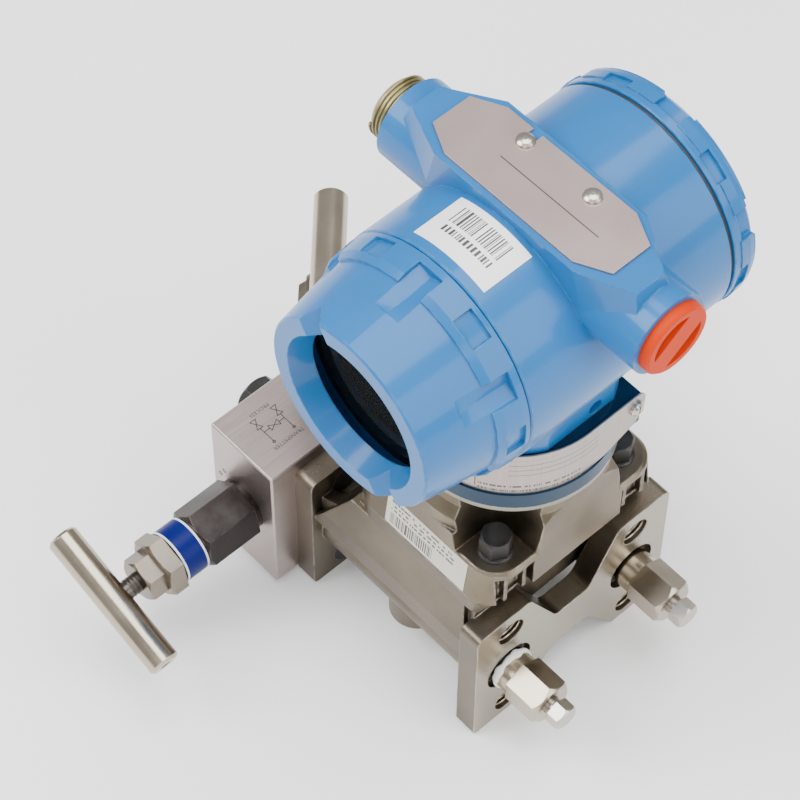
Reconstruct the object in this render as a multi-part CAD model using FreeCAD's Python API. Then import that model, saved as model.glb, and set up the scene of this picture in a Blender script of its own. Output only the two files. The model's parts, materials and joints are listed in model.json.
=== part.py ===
"""Differential pressure transmitter on a two-plate flange with a three-valve manifold.

Millimetres, +Z up. The origin is on the sensor module's vertical axis, in the plane of the
flange's feet. The electronics housing lies along Y, with the display cover at -Y and the
terminal cover at +Y. The manifold is at -X, the drain valves and the plugged entry at +X.
"""
import FreeCAD
import Part
import math
import os

from FreeCAD import Rotation, Vector

# ---- Process flange -------------------------------------------------------------------
PORT_SPACING = 54.0          # between the two process ports, along Y
PORT_HEIGHT = 28.0           # process port centre line above the feet
FLANGE_BOLT_SPACING = 41.3   # between the upper and lower threaded holes
FLANGE_HALF_WIDTH = 41.5
FLANGE_HEIGHT = 58.0
FLANGE_DRAIN_FACE = 31.7     # X of the face that carries the drain valves
FLANGE_LENGTH = 84.3         # face to face, along X
PLATE_THICKNESS = 8.0
NOTCH_TOP_HALF = 19.0        # V notch in the top of each plate
NOTCH_FLOOR_HALF = 7.0
NOTCH_DEPTH = 21.8
ARCH_FOOT_HALF = 20.5        # arch between the feet of each plate
ARCH_TOP_HALF = 8.0
ARCH_HEIGHT = 18.3
THREAD_BORE = 5.1            # radius of the open 7/16 inch threads, at their crests
THREAD_DEPTH = 14.0
RUNNER_RADIUS = 10.5         # cast bosses round the process passages
PASSAGE_RADIUS = 3.5
SEAT_HEIGHT = 68.4           # flange face that the sensor module stands on
SEAT_HALF_X = 28.5
RIM_HALF_WIDTH = 40.0        # cast rim along each side of the flange
RIM_TOP = 46.5
RIM_DEPTH = 8.5
ELBOW_RADIUS = 9.3           # round boss under each runner
ELBOW_BOTTOM = 13.0
DRAIN_RECESS_RADIUS = 9.2
DRAIN_RECESS_DEPTH = 3.0

# ---- Manifold block -------------------------------------------------------------------
BLOCK_THICKNESS = 29.5
BLOCK_HALF_LENGTH = 51.0
BLOCK_BOTTOM = 2.2
BLOCK_HEIGHT = 60.4
BLOCK_EDGE = 0.5
PROCESS_BORE = 9.6           # female process connection
PROCESS_BORE_DEPTH = 15.0
VALVE_PORT_RADIUS = 7.0
VALVE_PORT_DEPTH = 13.0
SEAL_RECESS_RADIUS = 9.9
SEAL_THICKNESS = 2.3
SEAL_BORE = 6.4
BOLT_SHANK = 5.5
BOLT_HOLE = 6.0                # clearance hole for the shank
BOLT_HEAD_FLATS = 14.2
BOLT_HEAD_HEIGHT = 7.2
FIT_CLEARANCE = 0.05         # screwed or pushed in, radial
RUNNING_CLEARANCE = 0.08     # turns in its bore, radial

# ---- Needle valves --------------------------------------------------------------------
ISOLATE_HEIGHT = 33.5
EQUALISE_Y = -12.8
COLLAR_RADIUS = 9.3
COLLAR_LENGTH = 2.0
EQUALISE_RISER = 9.1         # the upright valve's collar is longer by this
BONNET_FLATS = 19.0
BONNET_HEX_LENGTH = 20.0
BARREL_RADIUS = 9.4
BARREL_LENGTH = 10.0
BAND_WALL = 0.3
BAND_WIDTH = 8.8
LOCK_NUT_FLATS = 19.0
LOCK_NUT_HEIGHT = 6.0
NECK_RADIUS = 5.0
PACKING_NUT_FLATS = 14.0
PACKING_NUT_HEIGHT = 6.5
STEM_RADIUS = 3.2
STEM_SHOWING = 4.7           # thread that shows between packing nut and handle
HANDLE_RADIUS = 5.3
HANDLE_LENGTH = 53.0
HANDLE_RECESS = 2.0
ISOLATE_HANDLE_TILT = 19.0   # degrees, the +X end of each handle below level
EQUALISE_HANDLE_TURN = 136.2 # degrees from +X, seen from above

# ---- Drain valves ---------------------------------------------------------------------
DRAIN_SHANK = 6.4
DRAIN_COLLAR_RADIUS = 7.0
DRAIN_COLLAR_LENGTH = 5.8
DRAIN_FLATS = 14.3
DRAIN_HEX_LENGTH = 13.3
DRAIN_STEM_RADIUS = 3.1
DRAIN_STEM_SHOWING = 1.9
DRAIN_HEAD_FLATS = 8.0
DRAIN_HEAD_HEIGHT = 4.9

# ---- Sensor module --------------------------------------------------------------------
MODULE_HALF_X = 31.3
MODULE_HALF_Y = 35.2
MODULE_CORNER = 10.0
MODULE_DRAFT = 1.8             # the base is wider than its top by this, to each side
MODULE_BASE_HEIGHT = 15.1
MODULE_WALL_HEIGHT = 7.5     # side walls stand this much above the bolt bosses
MODULE_BOLT_X = 21.5
MODULE_BOLT_Y = 25.6
BOLT_POCKET_RADIUS = 7.8
BOLT_POCKET_FLARE = 3.6        # the pocket is wider by this under the ring
TOWER_RADIUS = 35.4            # turned body between the side walls
SIDE_WALL_HALF = 15.4          # flat walls at the two broad sides
SLOT_NEAR = 18.5               # recesses under the bolt bosses, along Y
SLOT_FAR = 32.4
SLOT_DEPTH = 3.8
SLOT_ROOF = 2.6                # boss left above each recess
SLOT_RIB = 1.3
RING_RADIUS = 33.0
RING_BOTTOM = 104.0
RING_HEIGHT = 2.4
MODULE_BOLT_SHANK = 3.0
MODULE_BOLT_FLATS = 9.2
MODULE_BOLT_HEAD = 7.2
MODULE_WASHER_RADIUS = 5.6
MODULE_WASHER_HEIGHT = 1.1
MODULE_BOLT_GRIP = 11.0      # thread length in the flange
MODULE_SEAL_RADIUS = 6.0
COLLAR_BAND_HEIGHT = 6.4     # painted band above the ring
STRAP_SEAT_RADIUS = 31.7
STRAP_THICKNESS = 0.6
STRAP_HEIGHT = 19.4
STRAP_SWEEP = 200.0          # degrees that the rating plate wraps
WING_LENGTH = 22.5
NECK_GAP = 0.5               # between the module's top and the housing neck
SPIGOT_RADIUS = 14.0
SPIGOT_HEIGHT = 5.5

# ---- Electronics housing --------------------------------------------------------------
HOUSING_AXIS_HEIGHT = 171.0
HOUSING_RADIUS = 38.0
HOUSING_FRONT = -31.4        # Y of the display side's rim
HOUSING_REAR = 46.9          # Y of the terminal side's rim
CAVITY_RADIUS = 33.0
COVER_BORE_RADIUS = 34.5
COVER_BORE_DEPTH = 9.5
BULKHEAD_FRONT = -8.0
BULKHEAD_THICKNESS = 4.0
NECK_HALF_X = 28.0
NECK_ROUND = 31.0
ENTRY_Y = 5.7                # conduit entries
ENTRY_ABOVE_AXIS = 23.75
ENTRY_HALF_SPAN = 51.0
ENTRY_RADIUS = 13.5
ENTRY_BORE = 10.4
PLUG_BAR = 8.4                 # width of the plug's grip bar
PAD_ABOVE_AXIS = 40.7          # the top pad, over the housing axis
PAD_HALF_LENGTH = 44.0
PAD_HALF_WIDTH = 14.0
PAD_FLAT_HALF = 27.0
PAD_END_LOW = 7.0              # the end edge reaches this far to -Y
PAD_END_HIGH = 3.5             # and this far to +Y of the entries' centre line

# ---- Tag plate ------------------------------------------------------------------------
TAG_HALF_LENGTH = 35.2
TAG_HALF_WIDTH = 12.1
TAG_FLAT_HALF = 25.0
TAG_END_HALF = 7.0
TAG_THICKNESS = 0.8
TAG_SCREW_X = 13.1
TAG_SCREW_Y = 7.2            # from the entry centre line
TAG_SLOT_WIDTH = 3.6
TAG_SCREW_SHANK = 1.5
TAG_SCREW_HEAD = 2.9
TAG_SCREW_DOME = 1.6

# ---- Covers ---------------------------------------------------------------------------
LUG_COUNT = 6
LUG_SWEEP = 46.0
POCKET_SWEEP = 14.5
NOTCH_SWEEP = 14.0              # V groove between two lugs
NOTCH_DEPTH_BACK = 1.6
NOTCH_FADE = 12.0              # stations on the hood where the groove starts to fade, and ends
NOTCH_END = 19.0
SPIGOT_WALL = 3.4
DISPLAY_COVER_LENGTH = 33.0
DISPLAY_SEAM = 0.25
DISPLAY_BAND_RADIUS = 37.8
DISPLAY_CONE_BACK = 36.6
DISPLAY_CONE_FRONT = 31.4
DISPLAY_RIM_WIDTH = 2.7
DISPLAY_LUG_WIDTH = 8.0
GLASS_SEAT = 5.6               # width of the seat that holds the glass
LIP_SLOPE = 2.8                # the lip opens out by this from the window to its front
WINDOW_DEPTH = 7.2
LIP_NOTCH_WIDTH = 11.0
LIP_NOTCH_DEPTH = 5.0
GLASS_CLEARANCE = 2.92          # radial, between the glass and the cover's cavity
GLASS_THICKNESS = 6.0
RETAINER_THICKNESS = 2.5
RETAINER_OVERLAP = 3.1         # width of glass that the retainer covers
TERMINAL_SEAM = 1.1
TERMINAL_COVER_LENGTH = 9.4
TERMINAL_BAND_RADIUS = 38.6
TERMINAL_BAND_WIDTH = 3.2
TERMINAL_BODY_RADIUS = 36.8
TERMINAL_TIER = 1.8            # inset step at the outer end of the lugs
TERMINAL_LUG_TURN = -6.0
TERMINAL_END_WALL = 4.2
SEAL_SECTION = 0.5

# ---- Inside the housing ---------------------------------------------------------------
ELECTRONICS_CLEARANCE = 1.52   # radial, inside the covers' spigots
DISPLAY_CLEARANCE = 4.02
DISPLAY_FACE = -47.0
DISPLAY_STEP = -30.0
TERMINAL_BLOCK_CLEARANCE = 2.02
TERMINAL_BLOCK_DEPTH = 12.0
TERMINAL_SPACING = 13.0

# ---- Worked out from the sizes above --------------------------------------------------
PORTS_Y = (-PORT_SPACING / 2, PORT_SPACING / 2)
FLANGE_BOLTS_Z = (PORT_HEIGHT - FLANGE_BOLT_SPACING / 2, PORT_HEIGHT + FLANGE_BOLT_SPACING / 2)
BLOCK_FACE = FLANGE_DRAIN_FACE - FLANGE_LENGTH
BLOCK_BACK = BLOCK_FACE - BLOCK_THICKNESS
BLOCK_MIDDLE = BLOCK_FACE - BLOCK_THICKNESS / 2
BLOCK_TOP = BLOCK_BOTTOM + BLOCK_HEIGHT
BOSS_PLANE = SEAT_HEIGHT + MODULE_BASE_HEIGHT
RING_TOP = RING_BOTTOM + RING_HEIGHT
STRAP_BOTTOM = RING_TOP + COLLAR_BAND_HEIGHT
STRAP_TOP = STRAP_BOTTOM + STRAP_HEIGHT
MODULE_TOP = STRAP_TOP - 1.0
NECK_BOTTOM = MODULE_TOP + NECK_GAP
ENTRY_HEIGHT = HOUSING_AXIS_HEIGHT + ENTRY_ABOVE_AXIS
PAD_TOP = HOUSING_AXIS_HEIGHT + PAD_ABOVE_AXIS
BULKHEAD_REAR = BULKHEAD_FRONT + BULKHEAD_THICKNESS
COVER_SPIGOT_RADIUS = COVER_BORE_RADIUS - RUNNING_CLEARANCE
COVER_CAVITY_RADIUS = COVER_SPIGOT_RADIUS - SPIGOT_WALL
GLASS_RADIUS = COVER_CAVITY_RADIUS - GLASS_CLEARANCE
WINDOW_RADIUS = GLASS_RADIUS - GLASS_SEAT
LIP_INNER_RADIUS = WINDOW_RADIUS + LIP_SLOPE
RETAINER_BORE = GLASS_RADIUS - RETAINER_OVERLAP
ELECTRONICS_RADIUS = COVER_CAVITY_RADIUS - ELECTRONICS_CLEARANCE
DISPLAY_RADIUS = COVER_CAVITY_RADIUS - DISPLAY_CLEARANCE
TERMINAL_BLOCK_RADIUS = COVER_CAVITY_RADIUS - TERMINAL_BLOCK_CLEARANCE

UP = Vector(0, 0, 1)
EAST = Vector(1, 0, 0)
NORTH = Vector(0, 1, 0)


# ---- Helpers --------------------------------------------------------------------------
def box(low, high):
    """A box between two opposite corners."""
    return Part.makeBox(high[0] - low[0], high[1] - low[1], high[2] - low[2], Vector(*low))


def rod(radius, length, start, direction=UP):
    """A solid cylinder from a start point along a direction."""
    return Part.makeCylinder(radius, length, start, direction)


def tube(outer, inner, length, start, direction=UP):
    """A hollow cylinder."""
    overrun = direction * 1.0
    return rod(outer, length, start, direction).cut(rod(inner, length + 2.0, start - overrun, direction))


def turned(profile, start, direction, across, sweep=360.0):
    """A solid of revolution from (station, radius) points along a direction."""
    points = [start + direction * station + across * radius for station, radius in profile]
    face = Part.Face(Part.makePolygon(points + points[:1]))
    return face.revolve(start, direction, sweep)


def hexagon_bar(flats, length, bevel=0.0):
    """A hexagon bar standing on the XY plane, with its top corners turned off."""
    corner = flats / math.sqrt(3.0)
    points = [Vector(corner * math.cos(math.radians(60 * k)), corner * math.sin(math.radians(60 * k)), 0)
              for k in range(7)]
    bar = Part.Face(Part.makePolygon(points)).extrude(UP * length)
    if bevel:
        inner = flats / 2 - bevel * 0.2
        outline = [(0, 0), (0, corner + 1), (length - bevel, corner + 1), (length - bevel, corner),
                   (length, inner), (length, 0)]
        bar = bar.common(turned(outline, Vector(0, 0, 0), UP, EAST))
    return bar


def rounded_outline(corners):
    """A closed wire through (point, corner radius) pairs, with a tangent arc at each radius."""
    count = len(corners)
    edges = []
    first = None
    last = None
    for k in range(count):
        point, radius = corners[k]
        before = corners[k - 1][0] - point
        after = corners[(k + 1) % count][0] - point
        before.normalize()
        after.normalize()
        if radius > 0:
            half = before.getAngle(after) / 2
            reach = radius / math.tan(half)
            enter = point + before * reach
            leave = point + after * reach
            bisector = before + after
            bisector.normalize()
            middle = point + bisector * (radius / math.sin(half) - radius)
        else:
            enter = leave = point
        if last is not None and last.distanceToPoint(enter) > 1e-6:
            edges.append(Part.LineSegment(last, enter).toShape())
        if radius > 0:
            edges.append(Part.Arc(enter, middle, leave).toShape())
        if first is None:
            first = enter
        last = leave
    if last.distanceToPoint(first) > 1e-6:
        edges.append(Part.LineSegment(last, first).toShape())
    return Part.Wire(edges)


def rounded_prism(corners, along):
    """A prism on a rounded outline."""
    return Part.Face(rounded_outline(corners)).extrude(along)


def rounded_block(half_x, half_y, radius, bottom, top):
    """An upright block with rounded vertical corners, centred on the Z axis."""
    corners = [(Vector(sx * half_x, sy * half_y, bottom), radius)
               for sx, sy in ((-1, -1), (1, -1), (1, 1), (-1, 1))]
    return rounded_prism(corners, UP * (top - bottom))


def mirrored(half):
    """Outline points of a half profile, given with positive first values, and its mirror."""
    return [(a, b, r) for a, b, r in half] + [(-a, b, r) for a, b, r in reversed(half)]


def placed(shape, origin, direction, across):
    """Turn a piece made along +Z to a direction, with its +X to `across`, and move it."""
    result = shape.copy()
    turn = Rotation(across, direction.cross(across), direction, "ZXY")
    result.Placement = FreeCAD.Placement(origin, turn)
    return result


def fused(first, *others):
    """One solid from several, with the seams between coplanar faces removed."""
    return first.fuse(list(others)).removeSplitter()


def cut_all(shape, tools):
    """A shape less several tools."""
    return shape.cut(list(tools)).removeSplitter()


def save(name, *solids):
    """Write one node, which may be a group of alike solids."""
    shape = solids[0] if len(solids) == 1 else Part.makeCompound(list(solids))
    shape.exportStep("parts/" + name + ".step")


# ---- Process flange -------------------------------------------------------------------
def end_plate(low_x, high_x):
    """One end plate, with its V notch and the arch between its feet."""
    half = [(FLANGE_HALF_WIDTH, 0.0, 2.0), (FLANGE_HALF_WIDTH, FLANGE_HEIGHT, 2.5),
            (NOTCH_TOP_HALF, FLANGE_HEIGHT, 2.0), (NOTCH_FLOOR_HALF, FLANGE_HEIGHT - NOTCH_DEPTH, 4.0)]
    arch = [(ARCH_TOP_HALF, ARCH_HEIGHT, 5.0), (ARCH_FOOT_HALF, 0.0, 2.0)]
    ring = half + [(-a, b, r) for a, b, r in reversed(half)]
    ring = ring + [(-a, b, r) for a, b, r in reversed(arch)] + arch
    corners = [(Vector(low_x, y, z), radius) for y, z, radius in ring]
    return rounded_prism(corners, EAST * (high_x - low_x))


def saddle(low_x, high_x):
    """The casting between the end plates, under the sensor module."""
    core_half = MODULE_HALF_Y + MODULE_DRAFT
    core = [(core_half - 3.0, SEAT_HEIGHT, 0.0), (core_half, RIM_TOP + 6.0, 0.0),
            (core_half, PORT_HEIGHT + 4.0, 3.0), (PORTS_Y[1] - RUNNER_RADIUS, PORT_HEIGHT, 0.0),
            (PORTS_Y[1] - RUNNER_RADIUS - 4.0, PORT_HEIGHT + 10.0, 3.0)]
    ring = mirrored(core)
    section = rounded_prism([(Vector(low_x, y, z), r) for y, z, r in ring], EAST * (high_x - low_x))
    shoulder_x = SEAT_HALF_X
    side = [(low_x, 0.0), (low_x, FLANGE_HEIGHT - 10.0), (-shoulder_x - 6.0, FLANGE_HEIGHT - 5.0),
            (-shoulder_x, SEAT_HEIGHT - 6.0), (-shoulder_x, SEAT_HEIGHT), (shoulder_x, SEAT_HEIGHT),
            (high_x, FLANGE_HEIGHT), (high_x, 0.0)]
    points = [Vector(x, -FLANGE_HALF_WIDTH, z) for x, z in side]
    envelope = Part.Face(Part.makePolygon(points + points[:1])).extrude(NORTH * 2 * FLANGE_HALF_WIDTH)
    behind_notch = box((high_x - 2.0, -NOTCH_TOP_HALF, FLANGE_HEIGHT - NOTCH_DEPTH - 1.0),
                       (high_x, NOTCH_TOP_HALF, FLANGE_HEIGHT))
    return section.common(envelope).cut(behind_notch)


def seat_block(high_x):
    """Bounds of the seat, sloped back to the inner face of the drain-side plate."""
    side = [(-SEAT_HALF_X, SEAT_HEIGHT - 6.0), (-SEAT_HALF_X, SEAT_HEIGHT), (SEAT_HALF_X, SEAT_HEIGHT),
            (high_x + 1.6, SEAT_HEIGHT - 6.0)]
    points = [Vector(x, -FLANGE_HALF_WIDTH, z) for x, z in side]
    return Part.Face(Part.makePolygon(points + points[:1])).extrude(NORTH * 2 * FLANGE_HALF_WIDTH)


def side_rim(low_x, high_x, sign):
    """The raised rim along one side, arched down to the end plates."""
    inner = MODULE_HALF_Y - 4.0
    edge = RIM_HALF_WIDTH
    bottom = RIM_TOP - RIM_DEPTH
    section = [(inner, bottom - 5.0), (edge - 3.0, bottom - 5.0), (edge, bottom), (edge, RIM_TOP),
               (MODULE_HALF_Y + MODULE_DRAFT, SEAT_HEIGHT - 6.0), (inner, SEAT_HEIGHT - 6.0)]
    points = [Vector(low_x, sign * y, z) for y, z in section]
    prism = Part.Face(Part.makePolygon(points + points[:1])).extrude(EAST * (high_x - low_x))
    reach = SEAT_HEIGHT - bottom
    arch = [(Vector(low_x, -FLANGE_HALF_WIDTH, bottom - 9.0), 0.0),
            (Vector(high_x, -FLANGE_HALF_WIDTH, bottom - 9.0), 0.0),
            (Vector(high_x, -FLANGE_HALF_WIDTH, RIM_TOP - 1.0), 0.0),
            (Vector(high_x - 5.0, -FLANGE_HALF_WIDTH, bottom + reach), 0.0),
            (Vector(low_x + 18.0, -FLANGE_HALF_WIDTH, bottom + reach), 0.0),
            (Vector(low_x, -FLANGE_HALF_WIDTH, RIM_TOP - 7.0), 0.0)]
    return prism.common(rounded_prism(arch, NORTH * 2 * FLANGE_HALF_WIDTH))


def process_flange():
    """The cast flange: two drilled end plates joined by a saddle and two passages."""
    plate_in = FLANGE_DRAIN_FACE - PLATE_THICKNESS
    block_in = BLOCK_FACE + PLATE_THICKNESS
    body = fused(end_plate(plate_in, FLANGE_DRAIN_FACE), end_plate(BLOCK_FACE, block_in),
                 saddle(block_in - 0.5, plate_in + 0.5),
                 side_rim(block_in - 0.5, plate_in + 0.5, -1), side_rim(block_in - 0.5, plate_in + 0.5, 1),
                 rounded_block(SEAT_HALF_X, MODULE_HALF_Y + MODULE_DRAFT, MODULE_CORNER - 3.0,
                               SEAT_HEIGHT - 6.0, SEAT_HEIGHT).common(seat_block(plate_in)))
    middle_x = (FLANGE_DRAIN_FACE + BLOCK_FACE) / 2
    runners = []
    for y in PORTS_Y:
        runners.append(rod(RUNNER_RADIUS, plate_in - block_in, Vector(block_in, y, PORT_HEIGHT), EAST))
        runners.append(rod(ELBOW_RADIUS, PORT_HEIGHT - ELBOW_BOTTOM, Vector(middle_x, y, ELBOW_BOTTOM)))
    body = fused(body, *runners)
    tools = []
    for y in PORTS_Y:
        tools.append(rod(PASSAGE_RADIUS, FLANGE_LENGTH, Vector(BLOCK_FACE, y, PORT_HEIGHT), EAST))
        tools.append(rod(PASSAGE_RADIUS, SEAT_HEIGHT - PORT_HEIGHT, Vector(0, y, PORT_HEIGHT)))
        tools.append(rod(DRAIN_RECESS_RADIUS, DRAIN_RECESS_DEPTH,
                         Vector(FLANGE_DRAIN_FACE - DRAIN_RECESS_DEPTH, y, PORT_HEIGHT), EAST))
        tools.append(rod(DRAIN_SHANK + FIT_CLEARANCE, THREAD_DEPTH,
                         Vector(FLANGE_DRAIN_FACE - THREAD_DEPTH, y, PORT_HEIGHT), EAST))
        for z in FLANGE_BOLTS_Z:
            tools.append(rod(THREAD_BORE, THREAD_DEPTH, Vector(FLANGE_DRAIN_FACE - THREAD_DEPTH, y, z), EAST))
            tools.append(rod(BOLT_SHANK + FIT_CLEARANCE, THREAD_DEPTH, Vector(BLOCK_FACE, y, z), EAST))
    for x, y in module_bolt_places():
        tools.append(rod(MODULE_BOLT_SHANK + FIT_CLEARANCE, MODULE_BOLT_GRIP + 1.0,
                         Vector(x, y, SEAT_HEIGHT - MODULE_BOLT_GRIP - 1.0)))
    return cut_all(body, tools)


# ---- Manifold -------------------------------------------------------------------------
def manifold_block():
    """The machined block with its process bores, valve ports and bolt holes."""
    block = box((BLOCK_BACK, -BLOCK_HALF_LENGTH, BLOCK_BOTTOM), (BLOCK_FACE, BLOCK_HALF_LENGTH, BLOCK_TOP))
    block = block.makeChamfer(BLOCK_EDGE, block.Edges)
    tools = []
    for y in PORTS_Y:
        tools.append(rod(PROCESS_BORE, PROCESS_BORE_DEPTH, Vector(BLOCK_BACK, y, PORT_HEIGHT), EAST))
        tools.append(rod(PASSAGE_RADIUS, BLOCK_THICKNESS, Vector(BLOCK_BACK, y, PORT_HEIGHT), EAST))
        tools.append(rod(SEAL_RECESS_RADIUS, SEAL_THICKNESS,
                         Vector(BLOCK_FACE - SEAL_THICKNESS, y, PORT_HEIGHT), EAST))
        for z in FLANGE_BOLTS_Z:
            tools.append(rod(BOLT_HOLE, BLOCK_THICKNESS, Vector(BLOCK_BACK, y, z), EAST))
    drill = STEM_RADIUS + RUNNING_CLEARANCE
    for sign in (-1, 1):
        mouth = Vector(BLOCK_MIDDLE, sign * BLOCK_HALF_LENGTH, ISOLATE_HEIGHT)
        tools.append(rod(VALVE_PORT_RADIUS, VALVE_PORT_DEPTH, mouth, NORTH * -sign))
        tools.append(rod(drill, BLOCK_HALF_LENGTH - PORTS_Y[1], mouth, NORTH * -sign))
    top = Vector(BLOCK_MIDDLE, EQUALISE_Y, BLOCK_TOP)
    tools.append(rod(VALVE_PORT_RADIUS, VALVE_PORT_DEPTH, top, UP * -1))
    tools.append(rod(drill, VALVE_PORT_DEPTH + 4.0, top, UP * -1))
    return cut_all(block, tools)


def manifold_bolts():
    """Four hexagon bolts through the block into the flange."""
    head = hexagon_bar(BOLT_HEAD_FLATS, BOLT_HEAD_HEIGHT, 1.2)
    shank_length = BLOCK_THICKNESS + PLATE_THICKNESS
    shank = rod(BOLT_SHANK, shank_length, Vector(0, 0, -shank_length))
    bolt = fused(head, shank)
    return [placed(bolt, Vector(BLOCK_BACK, y, z), EAST * -1, NORTH) for y in PORTS_Y for z in FLANGE_BOLTS_Z]


def manifold_seals():
    """Seal rings between the block and the flange."""
    return [tube(SEAL_RECESS_RADIUS - FIT_CLEARANCE, SEAL_BORE, SEAL_THICKNESS,
                 Vector(BLOCK_FACE - SEAL_THICKNESS, y, PORT_HEIGHT), EAST) for y in PORTS_Y]


# ---- Needle valves --------------------------------------------------------------------
def valve_bonnet(collar_length):
    """Bonnet: shank, collar, hexagon, barrel for the label band, and neck."""
    hex_start = collar_length
    barrel_start = hex_start + BONNET_HEX_LENGTH
    neck_start = barrel_start + BARREL_LENGTH
    neck_length = LOCK_NUT_HEIGHT + PACKING_NUT_HEIGHT / 2
    hexagon = hexagon_bar(BONNET_FLATS, BONNET_HEX_LENGTH, 1.4)
    hexagon.translate(UP * hex_start)
    margin = (BARREL_LENGTH - BAND_WIDTH) / 2
    groove = BARREL_RADIUS - BAND_WALL
    barrel = turned([(0, 0), (0, BARREL_RADIUS), (margin, BARREL_RADIUS), (margin, groove),
                     (BARREL_LENGTH - margin, groove), (BARREL_LENGTH - margin, BARREL_RADIUS),
                     (BARREL_LENGTH, BARREL_RADIUS - 0.4), (BARREL_LENGTH, 0)],
                    Vector(0, 0, barrel_start), UP, EAST)
    body = fused(rod(VALVE_PORT_RADIUS - FIT_CLEARANCE, VALVE_PORT_DEPTH - 1.0,
                     Vector(0, 0, 1.0 - VALVE_PORT_DEPTH)),
                 rod(COLLAR_RADIUS, collar_length, Vector(0, 0, 0)), hexagon, barrel,
                 rod(NECK_RADIUS, neck_length, Vector(0, 0, neck_start)))
    bore = rod(STEM_RADIUS + RUNNING_CLEARANCE, neck_start + neck_length + VALVE_PORT_DEPTH,
               Vector(0, 0, -VALVE_PORT_DEPTH))
    return body.cut(bore)


def valve_parts(collar_length):
    """The six pieces of one needle valve, along +Z from the block's face."""
    barrel_start = collar_length + BONNET_HEX_LENGTH
    lock_start = barrel_start + BARREL_LENGTH
    packing_start = lock_start + LOCK_NUT_HEIGHT
    handle_centre = packing_start + PACKING_NUT_HEIGHT + STEM_SHOWING + HANDLE_RADIUS
    groove = BARREL_RADIUS - BAND_WALL
    band = tube(BARREL_RADIUS + 0.1, groove + 0.02, BAND_WIDTH - 0.04,
                Vector(0, 0, barrel_start + (BARREL_LENGTH - BAND_WIDTH) / 2 + 0.02))
    lock_nut = hexagon_bar(LOCK_NUT_FLATS, LOCK_NUT_HEIGHT, 1.0)
    lock_nut.translate(UP * lock_start)
    lock_nut = lock_nut.cut(rod(NECK_RADIUS + FIT_CLEARANCE, LOCK_NUT_HEIGHT, Vector(0, 0, lock_start)))
    packing_nut = hexagon_bar(PACKING_NUT_FLATS, PACKING_NUT_HEIGHT, 1.0)
    packing_nut.translate(UP * packing_start)
    packing_nut = cut_all(packing_nut, [
        rod(NECK_RADIUS + FIT_CLEARANCE, PACKING_NUT_HEIGHT / 2, Vector(0, 0, packing_start)),
        rod(STEM_RADIUS + RUNNING_CLEARANCE, PACKING_NUT_HEIGHT, Vector(0, 0, packing_start))])
    stem_end = handle_centre + HANDLE_RADIUS * 0.45
    stem_tip = -VALVE_PORT_DEPTH + 2.0
    stem = turned([(stem_tip - 3.0, 0), (stem_tip - 3.0, 0.6), (stem_tip, STEM_RADIUS),
                   (stem_end, STEM_RADIUS), (stem_end, 0)],
                  Vector(0, 0, 0), UP, EAST)
    handle = turned([(0, 0), (0, HANDLE_RADIUS - 0.9), (0.9, HANDLE_RADIUS),
                     (HANDLE_LENGTH - 0.9, HANDLE_RADIUS), (HANDLE_LENGTH, HANDLE_RADIUS - 0.9),
                     (HANDLE_LENGTH, 0)],
                    Vector(-HANDLE_LENGTH / 2, 0, handle_centre), EAST, UP)
    handle = cut_all(handle, [
        rod(STEM_RADIUS + FIT_CLEARANCE, HANDLE_RADIUS + stem_end - handle_centre,
            Vector(0, 0, handle_centre - HANDLE_RADIUS)),
        rod(HANDLE_RECESS, HANDLE_RECESS, Vector(HANDLE_LENGTH / 2 - HANDLE_RECESS, 0, handle_centre), EAST),
        rod(HANDLE_RECESS, HANDLE_RECESS, Vector(-HANDLE_LENGTH / 2, 0, handle_centre), EAST)])
    return {"bonnet": valve_bonnet(collar_length), "label_band": band, "lock_nut": lock_nut,
            "packing_nut": packing_nut, "stem": stem, "handle": handle}


def save_valves():
    """Two isolating valves on the block's ends and the equalising valve on its top."""
    tilt = math.radians(ISOLATE_HANDLE_TILT)
    turn = math.radians(EQUALISE_HANDLE_TURN)
    level = Vector(math.cos(tilt), 0, -math.sin(tilt))
    across_top = Vector(math.cos(turn), math.sin(turn), 0)
    low_end = Vector(BLOCK_MIDDLE, -BLOCK_HALF_LENGTH, ISOLATE_HEIGHT)
    high_end = Vector(BLOCK_MIDDLE, BLOCK_HALF_LENGTH, ISOLATE_HEIGHT)
    top = Vector(BLOCK_MIDDLE, EQUALISE_Y, BLOCK_TOP)
    riser = COLLAR_LENGTH + EQUALISE_RISER
    places = {"low_isolate": (COLLAR_LENGTH, low_end, NORTH * -1, level),
              "high_isolate": (COLLAR_LENGTH, high_end, NORTH, level),
              "equalise": (riser, top, UP, across_top)}
    for valve, (collar_length, origin, direction, across) in places.items():
        for piece, shape in valve_parts(collar_length).items():
            save(valve + "_" + piece, placed(shape, origin, direction, across))


# ---- Drain valves ---------------------------------------------------------------------
def drain_valve_body():
    """Drain valve body along +Z from the flange face, with its side vent hole."""
    hexagon = hexagon_bar(DRAIN_FLATS, DRAIN_HEX_LENGTH, 1.6)
    hexagon.translate(UP * DRAIN_COLLAR_LENGTH)
    body = fused(rod(DRAIN_SHANK, THREAD_DEPTH - 1.0, Vector(0, 0, 1.0 - THREAD_DEPTH)),
                 rod(DRAIN_COLLAR_RADIUS, DRAIN_COLLAR_LENGTH, Vector(0, 0, 0)), hexagon)
    total = DRAIN_COLLAR_LENGTH + DRAIN_HEX_LENGTH
    return cut_all(body, [
        rod(DRAIN_STEM_RADIUS + RUNNING_CLEARANCE, total, Vector(0, 0, 0)),
        rod(1.6, THREAD_DEPTH, Vector(0, 0, -THREAD_DEPTH)),
        rod(1.2, DRAIN_FLATS, Vector(0, 0, DRAIN_COLLAR_LENGTH + 3.0), EAST * -1)])


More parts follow.
